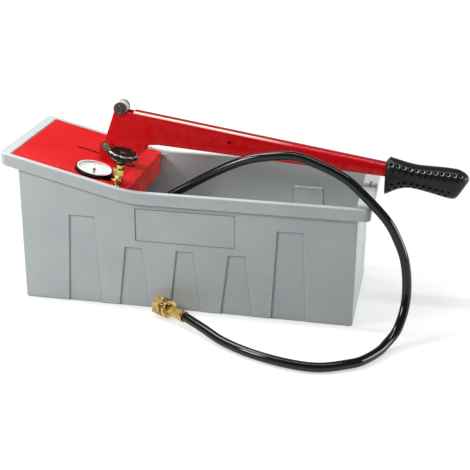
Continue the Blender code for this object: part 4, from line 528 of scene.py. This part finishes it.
grip_skin = finish("grip_skin", GRIP_BLACK, GRIP_BLOOM, GRIP_BLOOM, roughness=0.3,
                   grain_size=0.0011, grain_depth=0.0001, clouds=0.006, specular=0.28)
# The pale dish colour is a painted highlight crescent beside the top row's holes
dish_painted_highlight = finish("dish_painted_highlight", DISH_HIGHLIGHT_GREY, DISH_HIGHLIGHT_CLOUD, DISH_HIGHLIGHT_GREY, roughness=0.25,
                     grain_size=0.0011, grain_depth=0.00002, clouds=0.006)
coat(grip, grip_skin)
spots = [(*grip_spot(row[0] + index * DIMPLE_PITCH, side, *row[2:]), row is DIMPLE_ROWS[0])
         for row in DIMPLE_ROWS for index in range(row[1]) for side in (-1, 1)]
for low_radius, high_radius, depth, top, shift in DIMPLE_CUTS:
    bpy.ops.object.select_all(action="DESELECT")
    bpy.ops.mesh.primitive_cone_add(vertices=DIMPLE_SIDES, radius1=low_radius,
                                    radius2=high_radius, depth=depth,
                                    location=(0, 0, top - depth / 2))
    plug = bpy.context.active_object
    bpy.ops.object.transform_apply(location=True, rotation=True, scale=True)
    plugs = []
    for point, normal, in_top_row in spots:
        turned = normal.to_track_quat("Z", "Y").to_matrix().to_4x4()
        back = Vector((-1, 0, 1))
        back = (back - normal * back.dot(normal)).normalized()
        copy = bpy.data.objects.new("dimple_plug", plug.data.copy())
        copy.data.materials.append(dish_painted_highlight if in_top_row and not shift else grip_skin)
        copy.data.transform(Matrix.Translation(point + back * shift) @ turned)
        bpy.context.collection.objects.link(copy)
        plugs.append(copy)
    select_only(plugs[0])
    for copy in plugs[1:]:
        copy.select_set(True)
    bpy.ops.object.join()
    apply_modifier(grip, "BOOLEAN", object=plugs[0], operation="DIFFERENCE", solver="EXACT",
                   material_mode="TRANSFER")
    bpy.data.objects.remove(plugs[0])
    bpy.data.objects.remove(plug)
smooth(grip, GRIP_SHARP)
belong(grip, "lever", "lever_grip")

# Pressure gauge
# A black moulded case through the cover, a white dial printed with a plain scale whose last third
# is red, a black needle, and a clear window held by a thin white ring.
COVER_TILT = math.radians(13.61)
COVER_FOLD = (-0.0795, 0, 0.17233)
GAUGE_PLACE = (-0.0581, -0.0620, 0)
CASE_ROUNDING = 0.0004
CASE_BLACK = (12, 12, 12)
CASE_GREY = (22, 22, 22)
DIAL_WHITE = (244, 244, 241)
DIAL_CREAM = (236, 236, 232)
DIAL_FACE = 0.0026
PRINT_THICK = 0.00006
PRINT_GREY = (70, 72, 74)
PRINT_PALE = (88, 90, 92)
PRINT_RED = (204, 40, 44)
PRINT_ROSE = (216, 62, 60)
TICK_RADIUS = 0.0205
LONG_TICK = (0.0046, 0.0011)
SHORT_TICK = (0.0028, 0.0006)
NUMBER_EVERY = 5
NUMBER_RADIUS = TICK_RADIUS - 0.0068
NUMBER_SIZE = 0.0042
SCALE_START = math.radians(-75)
SCALE_SWING = math.radians(-270)
SCALE_STEPS = 30
RED_FROM = 20
# Each ring: its radius, its lower and upper side over the cover, and its wall
WINDOW_RING = (0.0240, 0.0058, 0.0064, 0.0016)
DIAL_WALL = (0.0239, 0.0027, 0.0044, 0.0004)
RING_SHARP = 40
GLASS_TINT = (0.95, 0.97, 0.97, 1)
GLASS_ROUGHNESS = 0.03
GLASS_ALPHA = 0.06
cover_frame = Matrix.Translation(COVER_FOLD) @ Matrix.Rotation(COVER_TILT, 4, "Y")
gauge_frame = cover_frame @ Matrix.Translation(GAUGE_PLACE)
gloss_black = finish("gloss_black", CASE_BLACK, CASE_GREY, CASE_GREY, roughness=0.18,
                     grain_size=0.0009, grain_depth=0.00002, clouds=0.01, specular=0.28)
dial_white = finish("dial_white", DIAL_WHITE, DIAL_CREAM, DIAL_WHITE, roughness=0.35,
                    grain_size=0.0008, grain_depth=0.00001, clouds=0.01)
print_grey = finish("print_grey", PRINT_GREY, PRINT_PALE, PRINT_GREY, roughness=0.5,
                    grain_size=0.0005, grain_depth=0.00001, clouds=0.002)
print_red = finish("print_red", PRINT_RED, PRINT_ROSE, PRINT_RED, roughness=0.5,
                   grain_size=0.0005, grain_depth=0.00001, clouds=0.002)
needle_black = finish("needle_black", CASE_BLACK, CASE_GREY, CASE_BLACK, roughness=0.6,
                      grain_size=0.0009, grain_depth=0.00001, clouds=0.01, specular=0.1)
rounded("gauge_case", "gauge_body", CASE_ROUNDING, gloss_black, "tank_unit")
coat_nodes(dial_white, "gauge_dial")
coat_nodes(needle_black, "gauge_needle")


def fix_place(piece):
    """Move a piece's place and size into its mesh."""
    select_only(piece)
    bpy.ops.object.transform_apply(location=True, rotation=True, scale=True)


def place_piece(piece, spot):
    """Put a piece that was modelled upright at its spot, with its place in its mesh."""
    piece.matrix_world = spot @ piece.matrix_world
    fix_place(piece)


def scale_turn(step):
    """The angle of one step of the scale on the dial."""
    return SCALE_START + SCALE_SWING * step / SCALE_STEPS


def scale_mark(step):
    """A printed mark of the scale, longer and wider where a number stands."""
    length, width = SHORT_TICK if step % NUMBER_EVERY else LONG_TICK
    bpy.ops.object.select_all(action="DESELECT")
    bpy.ops.mesh.primitive_cube_add(size=1, location=(TICK_RADIUS - length / 2, 0, DIAL_FACE),
                                    scale=(length, width, PRINT_THICK))
    mark = bpy.context.active_object
    fix_place(mark)
    place_piece(mark, Matrix.Rotation(scale_turn(step), 4, "Z"))
    return mark


def scale_number(step):
    """A plain number inside its mark, upright on the dial."""
    bpy.ops.object.select_all(action="DESELECT")
    bpy.ops.object.text_add()
    number = bpy.context.active_object
    number.data.body = str(2 * step)
    number.data.size = NUMBER_SIZE
    number.data.extrude = PRINT_THICK / 2
    number.data.align_x = "CENTER"
    number.data.align_y = "CENTER"
    bpy.ops.object.convert(target="MESH")
    turn = scale_turn(step)
    across, along = NUMBER_RADIUS * math.cos(turn), NUMBER_RADIUS * math.sin(turn)
    upright = scale_turn(SCALE_STEPS / 2) - math.pi / 2
    spot = Matrix.Translation((across, along, DIAL_FACE))
    place_piece(number, spot @ Matrix.Rotation(upright, 4, "Z"))
    return number


def print_on_dial(prints, name, ink):
    """Join prints into one piece on the gauge's dial."""
    select_only(prints[0])
    for piece in prints[1:]:
        piece.select_set(True)
    bpy.ops.object.join()
    prints[0].name = name
    place_piece(prints[0], gauge_frame)
    coat(prints[0], ink)
    belong(prints[0], "tank_unit", None)


numbers = range(0, SCALE_STEPS + 1, NUMBER_EVERY)
grey_print = [scale_mark(step) for step in range(RED_FROM)]
print_on_dial(grey_print + [scale_number(step) for step in numbers], "dial_scale", print_grey)
red_print = [scale_mark(step) for step in range(RED_FROM, SCALE_STEPS + 1)]
print_on_dial(red_print, "dial_red_scale", print_red)
glass = bpy.data.materials.new("window_glass")
glass.use_nodes = True
pane = glass.node_tree.nodes["Principled BSDF"]
pane.inputs["Base Color"].default_value = GLASS_TINT
pane.inputs["Roughness"].default_value = GLASS_ROUGHNESS
pane.inputs["Alpha"].default_value = GLASS_ALPHA
coat_nodes(glass, "gauge_window")


def thin_ring(name, radius, low, high, thickness):
    """A thin round band on the gauge, with its wall inwards and its edges rounded."""
    bpy.ops.object.select_all(action="DESELECT")
    bpy.ops.mesh.primitive_cylinder_add(vertices=96, radius=radius, depth=high - low,
                                        end_fill_type="NOTHING",
                                        location=(0, 0, (low + high) / 2))
    band = bpy.context.active_object
    band.name = name
    fix_place(band)
    apply_modifier(band, "SOLIDIFY", thickness=thickness, offset=-1.0)
    apply_modifier(band, "BEVEL", width=min(thickness, high - low) / 4, segments=2,
                   limit_method="ANGLE")
    place_piece(band, gauge_frame)
    smooth(band, RING_SHARP)
    coat(band, dial_white)
    belong(band, "tank_unit", None)


thin_ring("gauge_ring", *WINDOW_RING)
thin_ring("dial_wall", *DIAL_WALL)

# Shut-off valve
# Brass valve through the cover: a panel nut, a packing nut, and a scalloped black wheel that a
# screw holds on the rising stem. The wheel's upper edge carries a painted highlight: a pale grey
# metallic band.
VALVE_PLACE = (-0.0201, -0.0770, 0)
WHEEL_BLACK = (7, 7, 7)
WHEEL_GREY = (16, 16, 16)
WHEEL_SHARP = 45
EDGE_HIGHLIGHT_GREY = (168, 168, 166)
EDGE_LOW = 0.0452
EDGE_INSIDE = 0.0180
rounded("panel_nut", "valve_panel_nut", SMALL_ROUNDING, brass, "tank_unit")
rounded("packing_nut", "valve_packing_nut", SMALL_ROUNDING, brass, "tank_unit")
wheel_black = finish("wheel_black", WHEEL_BLACK, WHEEL_GREY, WHEEL_GREY, roughness=0.22,
                     grain_size=0.0009, grain_depth=0.00001, clouds=0.01, specular=0.2)
wheel_edge_painted_highlight = finish("wheel_edge_painted_highlight", EDGE_HIGHLIGHT_GREY, STEEL_DARK, EDGE_HIGHLIGHT_GREY, roughness=0.3,
                    grain_size=0.0006, grain_depth=0.00001, clouds=0.006, metallic=0.8)
wheel = cleaned_copy("handwheel", "valve_wheel", flat=0.01)
coat(wheel, wheel_black, wheel_edge_painted_highlight)
to_wheel = (cover_frame @ Matrix.Translation(VALVE_PLACE)).inverted()
# Faces of the wheel's upper outer edge take the painted highlight
for face in wheel.data.polygons:
    middle = to_wheel @ face.center
    edge_mark = middle.z > EDGE_LOW and middle.xy.length > EDGE_INSIDE
    face.material_index = 1 if edge_mark else 0
smooth(wheel, WHEEL_SHARP)
belong(wheel, "handwheel", "handwheel")
rounded("wheel_screw", "valve_wheel_screw", SMALL_ROUNDING, oiled, "handwheel")

# Hose ends
# A plated ferrule holds the hose in the pump. At the free end it is crimped in a brass sleeve with
# eight lengthwise flats, which carries a loose hexagon nut with a grooved round collar behind it.
FLATS = 8
CRIMP_SHARE = 0.93
CRIMP_LOW = 0.1
CRIMP_HIGH = 0.9
CRIMP_CUTS = (0.08, 0.14, 0.5, 0.86, 0.92)
SLEEVE_RADIUS = 0.0078
SLEEVE_LENGTH = 0.0315
SLEEVE_WALL = 0.8
SLEEVE_ROUNDING = 0.0002
SLEEVE_EDGE = 50
SLEEVE_SHARP = 25
NUT_LENGTH = 0.024
GAP = 0.0003


def aimed(origin, direction):
    """Place for a piece modelled upright that points another way."""
    return Matrix.Translation(origin) @ direction.to_track_quat("Z", "Y").to_matrix().to_4x4()


length = SLEEVE_LENGTH - GAP
bpy.ops.object.select_all(action="DESELECT")
bpy.ops.mesh.primitive_cylinder_add(vertices=4 * FLATS, radius=SLEEVE_RADIUS, depth=length,
                                    location=(0, 0, length / 2), end_fill_type="NOTHING")
sleeve = bpy.context.active_object
sleeve.name = "end_sleeve"
fix_place(sleeve)
bpy.ops.object.mode_set(mode="EDIT")
for height in CRIMP_CUTS:
    bpy.ops.mesh.select_all(action="SELECT")
    bpy.ops.mesh.bisect(plane_co=(0, 0, length * height), plane_no=(0, 0, 1))
bpy.ops.object.mode_set(mode="OBJECT")
for vertex in sleeve.data.vertices:
    inner = CRIMP_LOW * length < vertex.co.z < CRIMP_HIGH * length
    column = round(math.atan2(vertex.co.y, vertex.co.x) / (math.pi / 2 / FLATS)) % 4
    vertex.select = inner and column != 0
bpy.ops.object.mode_set(mode="EDIT")
bpy.ops.mesh.select_mode(type="VERT")
bpy.ops.transform.resize(value=(CRIMP_SHARE, CRIMP_SHARE, 1), center_override=(0, 0, 0))
bpy.ops.object.mode_set(mode="OBJECT")
wall = (SLEEVE_RADIUS - HOSE_RADIUS - GAP) * SLEEVE_WALL
apply_modifier(sleeve, "SOLIDIFY", thickness=wall, offset=-1.0)
apply_modifier(sleeve, "BEVEL", width=SLEEVE_ROUNDING, segments=2, limit_method="ANGLE",
               angle_limit=math.radians(SLEEVE_EDGE))
place_piece(sleeve, aimed(END - END_DIRECTION * (NUT_LENGTH + SLEEVE_LENGTH), END_DIRECTION))
smooth(sleeve, SLEEVE_SHARP)
coat(sleeve, brass)
belong(sleeve, "tank_unit", "end_ferrule")
coat_nodes(zinc, "tank_ferrule")
nut = rounded("swivel_nut", "hose_swivel_nut", SMALL_ROUNDING, brass, "swivel_nut")

# Floor, backdrop and light
# A pale floor in a dim room with a low white backdrop all round. Two soft lamps stand at the left,
# a long narrow one hangs above, and another lights the right end.
WHITE = (1, 1, 1, 1)
FLOOR_HALF = 6.0
FLOOR_GREY = 0.5
FLOOR_ROUGHNESS = 0.9
# The glow that a camera sees of the floor near the pump and far out, and where it starts and ends
GLOW_NEAR = 0.55
GLOW_FAR = 1.0
GLOW_FROM = 0.6
GLOW_TO = 1.8
ROOM_LIGHT = 0.2
BACKDROP_LIGHT = 1.0
BACKDROP_TOP = 0.20
BACKDROP_FULL = 0.08
# Each lamp: its name, place, target, length, width and power
LAMPS = (
    ("key", (-0.78, -0.66, 0.8), (-0.15, 0, 0.12), 0.32, 0.32, 7.6),
    ("top", (-0.55, 0.2, 1.15), (-0.05, 0, 0.15), 0.7, 0.4, 7.6),
    ("strip", (0.1, -0.1, 1.2), (0.1, 0, 0.15), 1.2, 0.08, 5.5),
    ("right", (1.4, 0.05, 0.42), (0.25, 0, 0.1), 0.6, 0.5, 8.0),
)
bpy.ops.object.select_all(action="DESELECT")
bpy.ops.mesh.primitive_plane_add(size=2 * FLOOR_HALF)
floor = bpy.context.active_object
floor.name = "floor"
floor_white = bpy.data.materials.new("floor_white")
floor_white.use_nodes = True
tree = floor_white.node_tree
surface = tree.nodes["Principled BSDF"]
surface.inputs["Base Color"].default_value = (FLOOR_GREY, FLOOR_GREY, FLOOR_GREY, 1)
surface.inputs["Roughness"].default_value = FLOOR_ROUGHNESS
surface.inputs["Emission Color"].default_value = WHITE


def seen_mask(tree, *labels):
    """1 for camera rays and rays of the named kinds, and 0 for the light between surfaces."""
    path = tree.nodes.new("ShaderNodeLightPath")
    total = path.outputs["Is Camera Ray"]
    for label in labels:
        total = combine(tree, "MAXIMUM", total, path.outputs[label])
    return total


distance = tree.nodes.new("ShaderNodeVectorMath")
distance.operation = "LENGTH"
tree.links.new(tree.nodes.new("ShaderNodeTexCoord").outputs["Object"], distance.inputs[0])
glow = tree.nodes.new("ShaderNodeMapRange")
for label, value in (("From Min", GLOW_FROM), ("From Max", GLOW_TO), ("To Min", GLOW_NEAR),
                     ("To Max", GLOW_FAR)):
    glow.inputs[label].default_value = value
tree.links.new(distance.outputs["Value"], glow.inputs["Value"])
seen = seen_mask(tree, "Is Glossy Ray", "Is Transmission Ray")
lift = combine(tree, "MULTIPLY", seen, glow.outputs["Result"])
tree.links.new(lift, surface.inputs["Emission Strength"])
floor.data.materials.append(floor_white)
for name, place, target, length, width, power in LAMPS:
    lamp_data = bpy.data.lights.new(name, "AREA")
    lamp_data.shape = "RECTANGLE"
    lamp_data.size = length
    lamp_data.size_y = width
    lamp_data.energy = power
    lamp = bpy.data.objects.new(name, lamp_data)
    bpy.context.collection.objects.link(lamp)
    lamp.matrix_world = aimed(Vector(place), Vector(place) - Vector(target))
world = bpy.data.worlds.new("studio")
world.use_nodes = True
tree = world.node_tree
backdrop = tree.nodes["Background"]
backdrop.inputs["Color"].default_value = WHITE
direction = tree.nodes.new("ShaderNodeSeparateXYZ")
tree.links.new(tree.nodes.new("ShaderNodeTexCoord").outputs["Generated"], direction.inputs[0])
band = ramp(tree, direction.outputs["Z"], BACKDROP_TOP, BACKDROP_FULL)
mirrored = combine(tree, "MULTIPLY", band, seen_mask(tree, "Is Glossy Ray"))
white = combine(tree, "MAXIMUM", mirrored, seen_mask(tree, "Is Transmission Ray"))
strength = tree.nodes.new("ShaderNodeMapRange")
strength.inputs["To Min"].default_value = ROOM_LIGHT
strength.inputs["To Max"].default_value = BACKDROP_LIGHT
tree.links.new(white, strength.inputs["Value"])
tree.links.new(strength.outputs["Result"], backdrop.inputs["Strength"])
bpy.context.scene.world = world
bpy.context.scene.view_settings.view_transform = "Standard"
